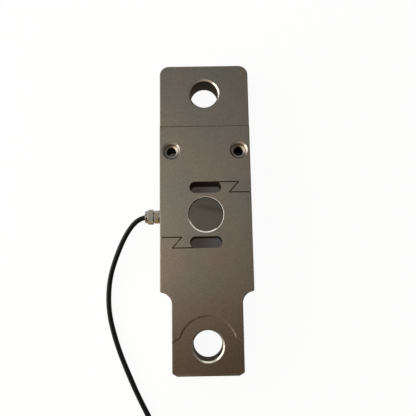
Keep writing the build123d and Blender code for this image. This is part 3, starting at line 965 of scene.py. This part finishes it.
def skin_mesh(name: str, skins: Sequence[Skin], sharp: float = SHARP) -> bpy.types.Mesh:
    """Makes one smooth mesh of some skins.

    Args:
        name: the mesh's name.
        skins: the skins.
        sharp: faces that meet at more than this many degrees keep a sharp edge.

    Returns:
        The mesh.
    """
    points, faces, start = [], [], 0
    for skin_points, quads, triangles in skins:
        points.append(skin_points)
        faces += (quads + start).tolist() + (triangles + start).tolist()
        start += len(skin_points)
    mesh = bpy.data.meshes.new(name)
    mesh.from_pydata(np.concatenate(points).tolist(), [], faces)
    mesh.shade_smooth()
    mesh.set_sharp_from_angle(angle=math.radians(sharp))
    return mesh


def line_points(points: np.ndarray) -> np.ndarray:
    """Points along the smooth line that a NURBS curve of order 3 follows.

    Args:
        points: its control points in metres, shaped (n, 3).

    Returns:
        Points on the curve, CURVE_RUNS for each run between control points.
    """
    curve = bpy.data.curves.new("guide", "CURVE")
    curve.dimensions = "3D"
    line = curve.splines.new("NURBS")
    line.points.add(len(points) - 1)
    flat = np.concatenate([points, np.ones((len(points), 1))], axis=1)
    line.points.foreach_set("co", flat.ravel())
    line.order_u = 3
    line.use_endpoint_u = True
    line.resolution_u = CURVE_RUNS
    guide = bpy.data.objects.new("guide", curve)
    mesh = bpy.data.meshes.new_from_object(guide)
    found = np.empty(len(mesh.vertices) * 3)
    mesh.vertices.foreach_get("co", found)
    bpy.data.meshes.remove(mesh)
    bpy.data.objects.remove(guide)
    bpy.data.curves.remove(curve)
    return found.reshape(-1, 3)


def distance_along(path: np.ndarray) -> np.ndarray:
    """How far each point of a path lies from its start, along the path."""
    runs = np.linalg.norm(np.diff(path, axis=0), axis=1)
    return np.concatenate([[0.0], np.cumsum(runs)])


def evenly(path: np.ndarray, spacing: float) -> np.ndarray:
    """The same path with points an even distance apart.

    Args:
        path: points in metres, shaped (n, 3).
        spacing: the distance in metres.

    Returns:
        Points shaped (n, 3).
    """
    along = distance_along(path)
    places = np.linspace(0.0, along[-1], int(along[-1] / spacing) + 1)
    return np.stack([np.interp(places, along, path[:, axis]) for axis in range(3)], axis=1)


def ring_angles(count: int) -> np.ndarray:
    """Even angles round a ring, in radians."""
    return np.linspace(0.0, math.tau, count, endpoint=False)


def tube_grid(path: np.ndarray, radius: np.ndarray) -> np.ndarray:
    """Rings round a path.

    With t the path's direction, s = t x up and n = s x t, the point at ring i and angle a is
    path(i) + radius(i, a) (cos a s + sin a n). The path is never upright.

    Args:
        path: points in metres, shaped (rings, 3).
        radius: metres, shaped (rings, points in a ring).

    Returns:
        Points shaped (rings, points in a ring, 3).
    """
    along = np.gradient(path, axis=0)
    along /= np.linalg.norm(along, axis=1, keepdims=True)
    side = np.cross(along, UP)
    side /= np.linalg.norm(side, axis=1, keepdims=True)
    above = np.cross(side, along)
    angle = ring_angles(radius.shape[1])[None, :, None]
    spokes = np.cos(angle) * side[:, None] + np.sin(angle) * above[:, None]
    return path[:, None] + radius[..., None] * spokes


class LeadColor(Enum):
    """The loose leads in their order across the fan, with finish, slot and seat in the sleeve."""

    red = (RED, "red_insulation", 162)
    black = (BLACK, "black_insulation", 234)
    shield = (YELLOW, "shield_insulation", 90)
    green = (GREEN, "green_insulation", 306)
    white = (WHITE, "white_insulation", 18)


@dataclass
class Cable:
    """The cable from the gland to its loose end: route, coil of the spare length and tail.

    A place on the route is (distance left of the plate, y, share of the gland's height), one on
    the tail is (angle round the coil, distance from its middle, share of a layer's height).
    """

    side_x: float = -47.5
    axis_z: float = 15.0
    floor_z: float = 2.7
    diameter: float = 5.3
    length: float = 1430.0
    exit_x: float = -64.2
    coil_x: float = 12.0
    coil_y: float = -252.5
    outer_turn: float = 36.3
    layer: float = 5.4
    turn_pitch: float = 5.5
    start_angle: float = -145.0
    lower_turns: float = 3.0
    climb: float = 120.0
    upper_turns: float = 2.75
    points_per_turn: int = 15
    sleeve_z: float = 3.15
    cores: int = 4
    core_lay: float = 46.0
    core_print: float = 0.012
    ring_spacing: float = 1.2
    ring_points: int = 24
    sharp: float = 60.0
    route: tuple[tuple[float, float, float], ...] = (
        (9.5, 0.0, 1.0),
        (16.0, 0.0, 1.0),
        (23.6, -2.4, 0.99),
        (29.8, -7.6, 0.95),
        (35.5, -15.2, 0.87),
        (42.0, -26.5, 0.70),
        (49.3, -43.5, 0.43),
        (55.3, -62.0, 0.18),
        (57.3, -82.0, 0.04),
        (56.1, -101.0, 0.0),
        (51.3, -120.5, 0.0),
        (44.3, -141.0, 0.0),
        (35.7, -161.0, 0.0),
        (26.3, -181.5, 0.0),
        (15.0, -203.0, 0.0),
        (4.8, -221.1, 0.0),
        (-6.0, -238.9, 0.0),
        (-17.3, -255.8, 0.0),
        (-29.8, -273.3, 0.0),
    )
    tail: tuple[tuple[float, float, float], ...] = (
        (-92.0, 39.6, 1.0),
        (-66.0, 43.4, 0.6),
        (-43.0, 43.2, 0.0),
        (-22.0, 42.6, 0.0),
    )

    def route_points(self) -> np.ndarray:
        """Control points of the route.

        Returns:
            Points in millimetres, shaped (n, 3).
        """
        out, along, share = np.array(self.route).T
        height = self.floor_z + share * (self.axis_z - self.floor_z)
        return np.stack([self.side_x - out, along, height], axis=1)

    def round_coil(
        self, degrees: np.ndarray, distance: np.ndarray, height: np.ndarray
    ) -> np.ndarray:
        """Points round the coil's middle.

        Args:
            degrees: the angle of each, from X.
            distance: how far out it lies.
            height: how high it lies.

        Returns:
            Points in millimetres, shaped (n, 3).
        """
        angle = np.radians(degrees)
        x = self.coil_x + distance * np.cos(angle)
        y = self.coil_y + distance * np.sin(angle)
        return np.stack([x, y, height], axis=1)

    def coil_points(self) -> np.ndarray:
        """Control points of the coil's turns.

        The angle grows by an even step. The radius falls by one pitch a turn on the floor, stays
        while the cable climbs one layer, and grows again by one pitch a turn on top. A control
        point lies out by 1 / (0.75 + 0.25 cos step), so that the curve has the wanted radius.

        Returns:
            Points in millimetres, shaped (n, 3).
        """
        step = 360.0 / self.points_per_turn
        low_end = 360.0 * self.lower_turns
        high_start = low_end + self.climb
        total = high_start + 360.0 * self.upper_turns
        turned = np.arange(step, total, step)
        down = np.minimum(turned, low_end) / 360.0
        up = np.maximum(turned - high_start, 0.0) / 360.0
        radius = self.outer_turn - self.turn_pitch * (down - up)
        radius /= 0.75 + 0.25 * math.cos(math.radians(step))
        climbed = np.clip((turned - low_end) / self.climb, 0.0, 1.0)
        height = self.floor_z + self.layer * climbed
        return self.round_coil(self.start_angle + turned, radius, height)

    def tail_points(self) -> np.ndarray:
        """Control points of the tail, from the top of the coil down to the floor.

        Returns:
            Points in millimetres, shaped (n, 3).
        """
        degrees, distance, share = np.array(self.tail).T
        height = self.sleeve_z + share * (self.floor_z + self.layer - self.sleeve_z)
        return self.round_coil(degrees, distance, height)

    def build(self, extra: Sequence[object]) -> None:
        """Makes the cable as a tube whose radius carries the faint print of its twisted cores.

        r = R (1 + print cos(cores a - 2 pi s / lay)), with s the distance along the cable.

        Args:
            extra: the pieces and nodes that lie on the cable; not used.
        """
        control = np.concatenate([self.route_points(), self.coil_points(), self.tail_points()])
        path = evenly(line_points(control * MM), self.ring_spacing * MM)
        along = distance_along(path)
        LOG.info("cable centreline %.0f mm", along[-1] / MM)
        lay = along[:, None] / (self.core_lay * MM)
        wave = np.cos(self.cores * ring_angles(self.ring_points) - math.tau * lay)
        radius = self.diameter / 2.0 * MM * (1.0 + self.core_print * wave)
        mesh = skin_mesh("cable", [grid_skin(tube_grid(path, radius))], self.sharp)
        nodes = ("cable_tube", "cable_coil", "cable_tail")
        piece = link_piece(mesh, JACKET, nodes)


@dataclass
class LooseEnd:
    """The shrunk sleeve, five leads and their tinned tips at the end of the cable.

    The sleeve's profile is (distance along it, how much less its radius is than over the jacket).
    Its waves are (count round it, height, turn in radians); they grow over the pinch band.
    """

    cable: Cable
    sleeve_wall: float = 0.45
    sleeve_length: float = 16.0
    sleeve_rings: int = 70
    sleeve_points: int = 48
    profile: tuple[Band, ...] = (
        (0.0, 0.44),
        (0.35, 0.15),
        (0.9, 0.0),
        (6.4, 0.0),
        (8.6, 0.25),
        (11.5, 0.6),
        (15.3, 0.75),
        (15.9, 0.9),
        (16.0, 1.2),
        (15.6, 1.5),
    )
    waves: tuple[tuple[float, float, float], ...] = ((5.0, 0.06, 0.4), (9.0, 0.03, 1.3))
    pinch: Band = (6.5, 12.5)
    lead_diameter: float = 1.1
    lead_spacing: float = 0.4
    lead_points: int = 16
    tip_diameter: float = 0.7
    tip_length: float = 5.0
    tip_strands: int = 7
    tip_lay: float = 6.0
    tip_lobe: float = 0.1
    tip_point: float = 0.08
    tip_blunt: float = 0.02
    tip_rings: int = 26
    tip_points: int = 28
    grip: float = 1.3
    seat: float = 1.5
    drop: float = 12.0
    run: float = 24.0
    fan: float = 4.2
    fan_near: float = 0.45
    fan_far: float = 1.3
    middle: float = 1.7
    floor_air: float = 0.05
    origin: np.ndarray = field(init=False)
    axes: np.ndarray = field(init=False)

    def __post_init__(self) -> None:
        """Sets the frame at the jacket's end: level across, up and along."""
        before, end = self.cable.tail_points()[-2:]
        along = (end - before) * (1.0, 1.0, 0.0)
        along /= np.linalg.norm(along)
        level = np.array((-along[1], along[0], 0.0))
        self.origin = end
        self.axes = np.stack([level, np.cross(along, level), along])

    def lead_line(self, index: int, seat_angle: float) -> np.ndarray:
        """Control points of one lead: out of the sleeve, down to the floor and fanned out.

        Args:
            index: its place in the fan.
            seat_angle: the angle at which it sits in the sleeve.

        Returns:
            Points in millimetres, shaped (n, 3).
        """
        rest = self.lead_diameter / 2.0 + self.floor_air - self.cable.sleeve_z
        turn = math.radians(seat_angle)
        across, above = self.seat * math.cos(turn), self.seat * math.sin(turn)
        spread = (index - self.middle) * self.fan
        face = self.sleeve_length
        local = [
            (across, above, face),
            (across, above, face + self.grip),
            (spread * self.fan_near, rest, face + self.drop),
            (spread, rest, face + self.drop + self.run / 2.0),
            (spread * self.fan_far, rest, face + self.drop + self.run),
        ]
        return self.origin + np.array(local) @ self.axes

    def sleeve(self) -> bpy.types.Object:
        """Film shrunk over the jacket's end: it necks in over the cut and grips the leads.

        The radius along the sleeve is interpolated between the places of the profile. Waves
        height cos(count a + turn) round it grow where it necks in.

        Returns:
            The sleeve's piece.
        """
        places, less = np.array(self.profile).T
        share = np.linspace(0.0, 1.0, self.sleeve_rings)
        knots = np.linspace(0.0, 1.0, len(places))
        along = np.interp(share, knots, places)
        over = self.cable.diameter / 2.0 + self.sleeve_wall
        radius = over - np.interp(share, knots, less)
        angle = ring_angles(self.sleeve_points)
        start, end = self.pinch
        pinch = np.clip((along - start) / (end - start), 0.0, 1.0)[:, None]
        waves = sum(height * np.cos(count * angle + turn) for count, height, turn in self.waves)
        path = self.origin + along[:, None] * self.axes[2]
        spokes = np.cos(angle)[:, None] * self.axes[0] + np.sin(angle)[:, None] * self.axes[1]
        grid = path[:, None] + (radius[:, None] + pinch * waves)[..., None] * spokes
        mesh = skin_mesh("shrink_sleeve", [grid_skin(grid * MM)])
        return link_piece(mesh, SLEEVE, ("end_sleeve",))

    def tips(self) -> bpy.types.Object:
        """Tinned ends: strands twisted together under solder, in one mesh.

        r = R (1 - lobe + lobe |cos(strands / 2 (a - 2 pi s / lay))|), drawn in to a blunt point.

        Returns:
            The tips' piece.
        """
        skins = []
        share = np.linspace(0.0, 1.0, self.tip_rings)[:, None]
        point = np.sqrt(np.clip((1.0 - share) / self.tip_point, self.tip_blunt, 1.0))
        twist = ring_angles(self.tip_points) - math.tau * share * self.tip_length / self.tip_lay
        lobes = np.abs(np.cos(self.tip_strands / 2.0 * twist))
        radius = self.tip_diameter / 2.0 * (1.0 - self.tip_lobe + self.tip_lobe * lobes) * point
        for index, color in enumerate(LeadColor):
            before, end = self.lead_line(index, color.value[2])[-2:]
            along = (end - before) / np.linalg.norm(end - before)
            path = end + share * self.tip_length * along
            skins.append(grid_skin(tube_grid(path * MM, radius * MM)))
        return link_piece(skin_mesh("tinned_tips", skins), TIN, ("lead_tips",))

    def leads(self) -> None:
        """Five insulated leads, each a tube from the sleeve's end."""
        for index, color in enumerate(LeadColor):
            finish, slot, seat_angle = color.value
            points = self.lead_line(index, seat_angle) * MM
            path = evenly(line_points(points), self.lead_spacing * MM)
            radius = np.full((len(path), self.lead_points), self.lead_diameter / 2.0 * MM)
            mesh = skin_mesh(f"{color.name}_wire", [grid_skin(tube_grid(path, radius))])
            piece = link_piece(mesh, finish, (f"{color.name}_lead",))


@dataclass
class CoilTie:
    """The covered wire tie round the coil's turns, with its two ends twisted together on top.

    It stands at the angle place round the coil, between the distances inner and outer from the
    coil's middle.
    """

    cable: Cable
    place: float = 80.0
    inner: float = 18.65
    outer: float = 35.6
    low: float = 0.0
    high: float = 11.0
    corner: float = 2.6
    corner_step: float = 6.0
    width: float = 3.0
    thickness: float = 0.4
    wing: float = 0.45
    ridge: float = 0.5
    section_points: int = 24
    twist_length: float = 12.0
    twist_radius: float = 0.62
    twist_lobe: float = 0.4
    twist_pitch: float = 3.4
    twist_start: float = 1.2
    twist_turn: float = 25.0
    twist_rings: int = 60
    twist_points: int = 20
    origin: np.ndarray = field(init=False)
    axes: np.ndarray = field(init=False)

    def __post_init__(self) -> None:
        """Sets the frame at the coil's middle: out to the tie, along the turns and up."""
        turn = math.radians(self.place)
        outward = np.array((math.cos(turn), math.sin(turn), 0.0))
        self.origin = np.array((self.cable.coil_x, self.cable.coil_y, 0.0))
        self.axes = np.stack([outward, np.cross(UP, outward), UP])

    def band(self) -> Skin:
        """A flat band with a wire down its middle, round a rectangle with round corners.

        With n = (cos t, sin t) out of the band, its middle line is corner(n) + r n, where corner(n)
        is the centre of the round corner on the side of n and r its radius less T/2. Across it,
        at s = W/2 cos p, the half thickness is T/2 sin p (wing + (1 - wing) exp(-(s / ridge)^2)),
        with W the width and T the thickness.

        Returns:
            The band's skin.
        """
        turn = np.radians(np.arange(self.corner_step / 2.0, 360.0, self.corner_step))
        normal = np.stack([np.cos(turn), np.sin(turn)], axis=1)
        half = self.thickness / 2.0
        size = np.array([self.outer - self.inner, self.high - self.low]) / 2.0
        middle = np.array([self.outer + self.inner, self.high + self.low]) / 2.0
        line = middle + np.sign(normal) * (size - self.corner) + (self.corner - half) * normal
        section = ring_angles(self.section_points)
        across = self.width / 2.0 * np.cos(section)
        bulge = self.wing + (1.0 - self.wing) * np.exp(-((across / self.ridge) ** 2))
        height = half * np.sin(section) * bulge
        flat = line[:, None] + height[None, :, None] * normal[:, None]
        outward, along, up = self.axes
        grid = self.origin + flat[..., :1] * outward + flat[..., 1:] * up
        return grid_skin((grid + across[None, :, None] * along) * MM, ring_closed=True)

    def twist(self) -> Skin:
        """The twisted ends, lying on the coil: r = R (1 + lobe cos 2 (a - 2 pi s / pitch)).

        Returns:
            Their skin.
        """
        outward, along, up = self.axes
        lean = math.radians(self.twist_turn)
        heading = math.cos(lean) * along + math.sin(lean) * outward
        seat = (self.inner + self.outer) / 2.0 * outward + (self.high + self.twist_radius) * up
        share = np.linspace(0.0, 1.0, self.twist_rings)[:, None]
        away = share * self.twist_length - self.twist_start
        path = self.origin + seat + away * heading
        turned = ring_angles(self.twist_points) - math.tau * away / self.twist_pitch
        lobes = 1.0 + self.twist_lobe * np.cos(2.0 * turned)
        return grid_skin(tube_grid(path * MM, self.twist_radius * MM * lobes))

    def build(self) -> bpy.types.Object:
        """Makes the tie as one piece."""
        mesh = skin_mesh("coil_tie", [self.band(), self.twist()])
        return link_piece(mesh, TIE, ())


@dataclass(frozen=True)
class Sky:
    """The studio's light from every direction.

    A direction is a unit vector with x to the right, y to the plate's upper end and z up, and
    bands are parts of it. The overhead light is cut off towards both ends of the plate and along
    a slanted line on the right, and has a dull spot. The ring is light from all round, between
    low and high. The two dusk colours and the day colour tint the light.
    """

    base: float = 0.03
    high_band: Band = (0.35, 0.8)
    overhead: float = 1.9
    lower_band: Band = (-0.29, -0.14)
    upper_band: Band = (0.22, 0.4)
    upper_loss: float = 0.98
    slant: float = 0.9
    slant_band: Band = (-0.23, 0.14)
    slant_loss: float = 0.9
    spot: Band = (-0.14, 0.12)
    spot_band: Band = (0.06, 0.13)
    spot_level: float = 0.25
    low: float = 0.1
    low_left: float = 0.34
    low_left_band: Band = (0.5, -0.9)
    low_upper: float = 0.3
    low_upper_band: Band = (-0.2, 0.9)
    low_lower: float = 0.1
    low_lower_band: Band = (-0.2, -0.9)
    ring: float = 0.65
    ring_foot: Band = (0.05, 0.25)
    ring_top: Band = (0.82, 0.62)
    ring_right_loss: float = 0.8
    ring_right_band: Band = (0.15, 0.7)
    ring_lower_loss: float = 0.6
    ring_lower_band: Band = (-0.3, -0.85)
    dusk: Color = (1.0, 0.88, 0.76)
    deep_dusk: Color = (1.0, 0.54, 0.26)
    dusk_band: Band = (0.7, 0.95)
    day: Color = (0.97, 1.0, 0.98)
    day_band: Band = (-0.22, 0.18)

    def strength(self, x: Signal, y: Signal, z: Signal) -> Signal:
        """How bright a direction is.

        Args:
            x: its part to the right.
            y: its part to the plate's upper end.
            z: its part upwards.

        Returns:
            The strength.
        """
        high = z.step(*self.high_band)
        overhead = high * y.step(*self.lower_band)
        overhead *= 1.0 - self.upper_loss * y.step(*self.upper_band)
        overhead *= 1.0 - self.slant_loss * (x - self.slant * y).step(*self.slant_band)
        from_spot = radius_at(x - self.spot[0], y - self.spot[1]).step(*self.spot_band)
        overhead *= self.spot_level + (1.0 - self.spot_level) * from_spot
        low = self.low_left * x.step(*self.low_left_band) + self.low
        low += self.low_upper * y.step(*self.low_upper_band)
        low += self.low_lower * y.step(*self.low_lower_band)
        ring = z.step(*self.ring_foot) * z.step(*self.ring_top)
        ring *= 1.0 - self.ring_right_loss * x.step(*self.ring_right_band)
        ring *= 1.0 - self.ring_lower_loss * y.step(*self.ring_lower_band)
        return self.base + self.overhead * overhead + (1.0 - high) * low + self.ring * ring

    def build(self) -> None:
        """Sets the world: this light on the object, and plain white to the camera."""
        world = bpy.data.worlds.new("studio")
        bpy.context.scene.world = world
        world.use_nodes = True
        graph = Graph(world.node_tree)
        direction = graph.add("ShaderNodeTexCoord", {}, {}, "Generated")
        x, y, z = graph.axes(direction)
        dusk = graph.blend(z.step(*self.dusk_band), self.dusk, self.deep_dusk)
        tint = graph.blend(y.step(*self.day_band), dusk, self.day)
        sockets = {"Color": tint, "Strength": self.strength(x, y, z)}
        light = graph.add("ShaderNodeBackground", {}, sockets)
        white = graph.add("ShaderNodeBackground", {}, {"Color": (*FULL_WHITE, 1.0)})
        (seen,) = graph.rays("Is Camera Ray")
        surface = graph.add("ShaderNodeMixShader", {}, {0: seen, 1: light, 2: white})
        graph.place("ShaderNodeOutputWorld", {}, {"Surface": surface})


@dataclass(frozen=True)
class Lamp:
    """An area lamp that points at the middle of the plate. Its place and size are in metres."""

    name: str
    place: tuple[float, float, float]
    size: Band
    watts: float
    color: Color

    def build(self) -> None:
        """Puts the lamp into the scene."""
        data = bpy.data.lights.new(self.name, "AREA")
        data.shape = "RECTANGLE"
        data.size, data.size_y = self.size
        data.energy = self.watts
        data.color = self.color
        lamp = bpy.data.objects.new(self.name, data)
        lamp.location = self.place
        lamp.rotation_euler = (-Vector(self.place)).to_track_quat("-Z", "Y").to_euler()
        bpy.context.scene.collection.objects.link(lamp)


LAMPS = (
    Lamp("window", (-0.85, 0.15, 0.3), (1.3, 0.5), 7.0, (1.0, 0.97, 0.93)),
    Lamp("side_box", (-0.3, -0.01, 0.44), (0.2, 0.24), 0.3, (1.0, 0.93, 0.84)),
    Lamp("far_light", (0.1, 1.2, 0.35), (0.9, 0.4), 1.2, (1.0, 0.97, 0.92)),
)


@dataclass
class Studio:
    """Floor, world, lamps and the camera at the photograph's angle.

    The camera turns by pitch about X, yaw about Y and roll about Z, in radians. A patch of the
    floor that shows through the plate is (|x|, y, half across, half along, width of its soft edge),
    and the painted shade colours of the gaps and holes are its left and right ones. Reflections of
    the floor turn to a painted shade on the right, over the dim band, in metres.
    """

    position: tuple[float, float, float] = (-0.361, -58.4, 476.48)
    pitch: float = -0.1446
    yaw: float = 0.0058
    roll: float = 0.0167
    focal_pixels: float = 437.68
    frame_pixels: float = 416.0
    sensor: float = 36.0
    near_clip: float = 10.0
    floor_half: float = 3000.0
    floor_drop: float = 0.2
    own_light: float = 0.94
    pale: Color = (0.97, 0.97, 0.97)
    gap_patch: tuple[float, float, float, float, float] = (0.0, 0.0, 24.0, 37.0, 2.0)
    # Painted shade: floor colours under the slots and holes, seen only through the plate.
    painted_gap_shade_left: Color = (0.052, 0.042, 0.034)
    painted_gap_shade_right: Color = (0.074, 0.07, 0.067)
    gap_band: Band = (-12.0, 14.0)
    hole_patch: tuple[float, float, float, float, float] = (35.5, 68.0, 10.0, 10.0, 1.0)
    painted_hole_shade_left: Color = (0.062, 0.06, 0.058)
    painted_hole_shade_right: Color = (0.008, 0.008, 0.009)
    hole_band: Band = (-10.0, 10.0)
    # Painted shade in reflections of the floor on the right.
    painted_reflection_shade: Color = (0.06, 0.055, 0.05)
    dim_band: Band = (0.0, 0.3)

    def camera(self) -> None:
        """Puts the camera into the scene."""
        turn = Matrix.Rotation(self.roll, 3, "Z") @ Matrix.Rotation(self.yaw, 3, "Y")
        turn = turn @ Matrix.Rotation(self.pitch, 3, "X")
        data = bpy.data.cameras.new("camera")
        data.sensor_width = self.sensor
        data.lens = self.focal_pixels / self.frame_pixels * self.sensor
        data.clip_start = self.near_clip * MM
        camera = bpy.data.objects.new("camera", data)
        matrix = turn.transposed().to_4x4()
        matrix.translation = Vector(self.position) * MM
        camera.matrix_world = matrix
        bpy.context.scene.collection.objects.link(camera)
        bpy.context.scene.camera = camera

    def on_patch(
        self, across: Signal, along: Signal, patch: tuple[float, float, float, float, float]
    ) -> Signal:
        """Where a patch of the floor is.

        Args:
            across: the place across the plate, in millimetres.
            along: the place along the plate, in millimetres.
            patch: the patch.

        Returns:
            1 on the patch.
        """
        x, y, half_across, half_along, soft = patch
        inside = (across.size() - x).size().step(half_across, half_across - soft)
        return inside * (along - y).size().step(half_along, half_along - soft)

    def floor_surface(self, graph: Graph) -> Signal:
        """A pale floor that is white to the camera and in reflections, and takes a soft shadow;
        patches under the plate's slots and holes are painted shade, and its reflections on the
        right are painted shade.

        Args:
            graph: the material's graph.

        Returns:
            The floor's shader.
        """
        x, y, _ = graph.axes(graph.point())
        across, along = x / MM, y / MM
        slots = self.on_patch(across, along, self.gap_patch)
        holes = self.on_patch(across, along, self.hole_patch)
        # Painted shade: dark floor patches under the plate's slots and holes.
        under_slots = graph.blend(across.step(*self.gap_band), self.painted_gap_shade_left, self.painted_gap_shade_right)
        under_holes = graph.blend(across.step(*self.hole_band), self.painted_hole_shade_left, self.painted_hole_shade_right)
        painted_under_shade = graph.blend(holes, under_slots, under_holes)
        hidden = slots.at_least(holes)
        shade = graph.blend(hidden, self.pale, painted_under_shade)
        matt = graph.add("ShaderNodeBsdfDiffuse", {}, {"Color": shade})
        camera_ray, glossy, through = graph.rays(
            "Is Camera Ray", "Is Glossy Ray", "Is Transmission Ray"
        )
        seen = camera_ray.at_least(glossy).at_least(through)
        # Painted shade: reflections of the floor darken to the right.
        dim = glossy * x.step(*self.dim_band)
        white = graph.blend(dim, FULL_WHITE, self.painted_reflection_shade)
        glow = graph.add("ShaderNodeEmission", {}, {"Color": graph.blend(hidden, white, painted_under_shade)})
        share = seen * self.own_light + dim * (1.0 - self.own_light)
        return graph.add("ShaderNodeMixShader", {}, {0: share, 1: matt, 2: glow})

    def floor(self) -> None:
        """Puts the floor into the scene, just under the part."""
        half, top = self.floor_half * MM, -self.floor_drop * MM
        corners = [(-half, -half, top), (half, -half, top), (half, half, top), (-half, half, top)]
        mesh = bpy.data.meshes.new("floor")
        mesh.from_pydata(corners, [], [(0, 1, 2, 3)])
        floor = bpy.data.objects.new("floor", mesh)
        bpy.context.scene.collection.objects.link(floor)
        material = bpy.data.materials.new("floor")
        material.use_nodes = True
        graph = Graph(material.node_tree)
        graph.place("ShaderNodeOutputMaterial", {}, {"Surface": self.floor_surface(graph)})
        mesh.materials.append(material)

    def build(self) -> None:
        """Sets up everything that isn't part of the object."""
        self.camera()
        self.floor()
        Sky().build()
        for lamp in LAMPS:
            lamp.build()
        bpy.context.scene.view_settings.view_transform = "Standard"


def dress(nodes: dict[str, bpy.types.Object]) -> None:
    """Gives every CAD node that stays in view its finish.

    Args:
        nodes: the frame's nodes by name.
    """
    for name, finish in NODE_FINISHES.items():
        slots = nodes[name].data.materials
        slots.clear()
        slots.append(finish.material())
        LOG.info("node %s: %s", name, finish.name)


def main() -> None:
    """Builds the scene round the frame."""
    logging.basicConfig(level=logging.INFO, format="%(name)s: %(message)s")
    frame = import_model()
    Studio().build()
    dress(frame["nodes"])
    cable = Cable()
    end = LooseEnd(cable)
    sleeve = end.sleeve()
    tips = end.tips()
    end.leads()
    tie = CoilTie(cable).build()
    cable.build([*GLAND_NODES, sleeve, tips, tie])


if __name__ == "__main__":
    main()
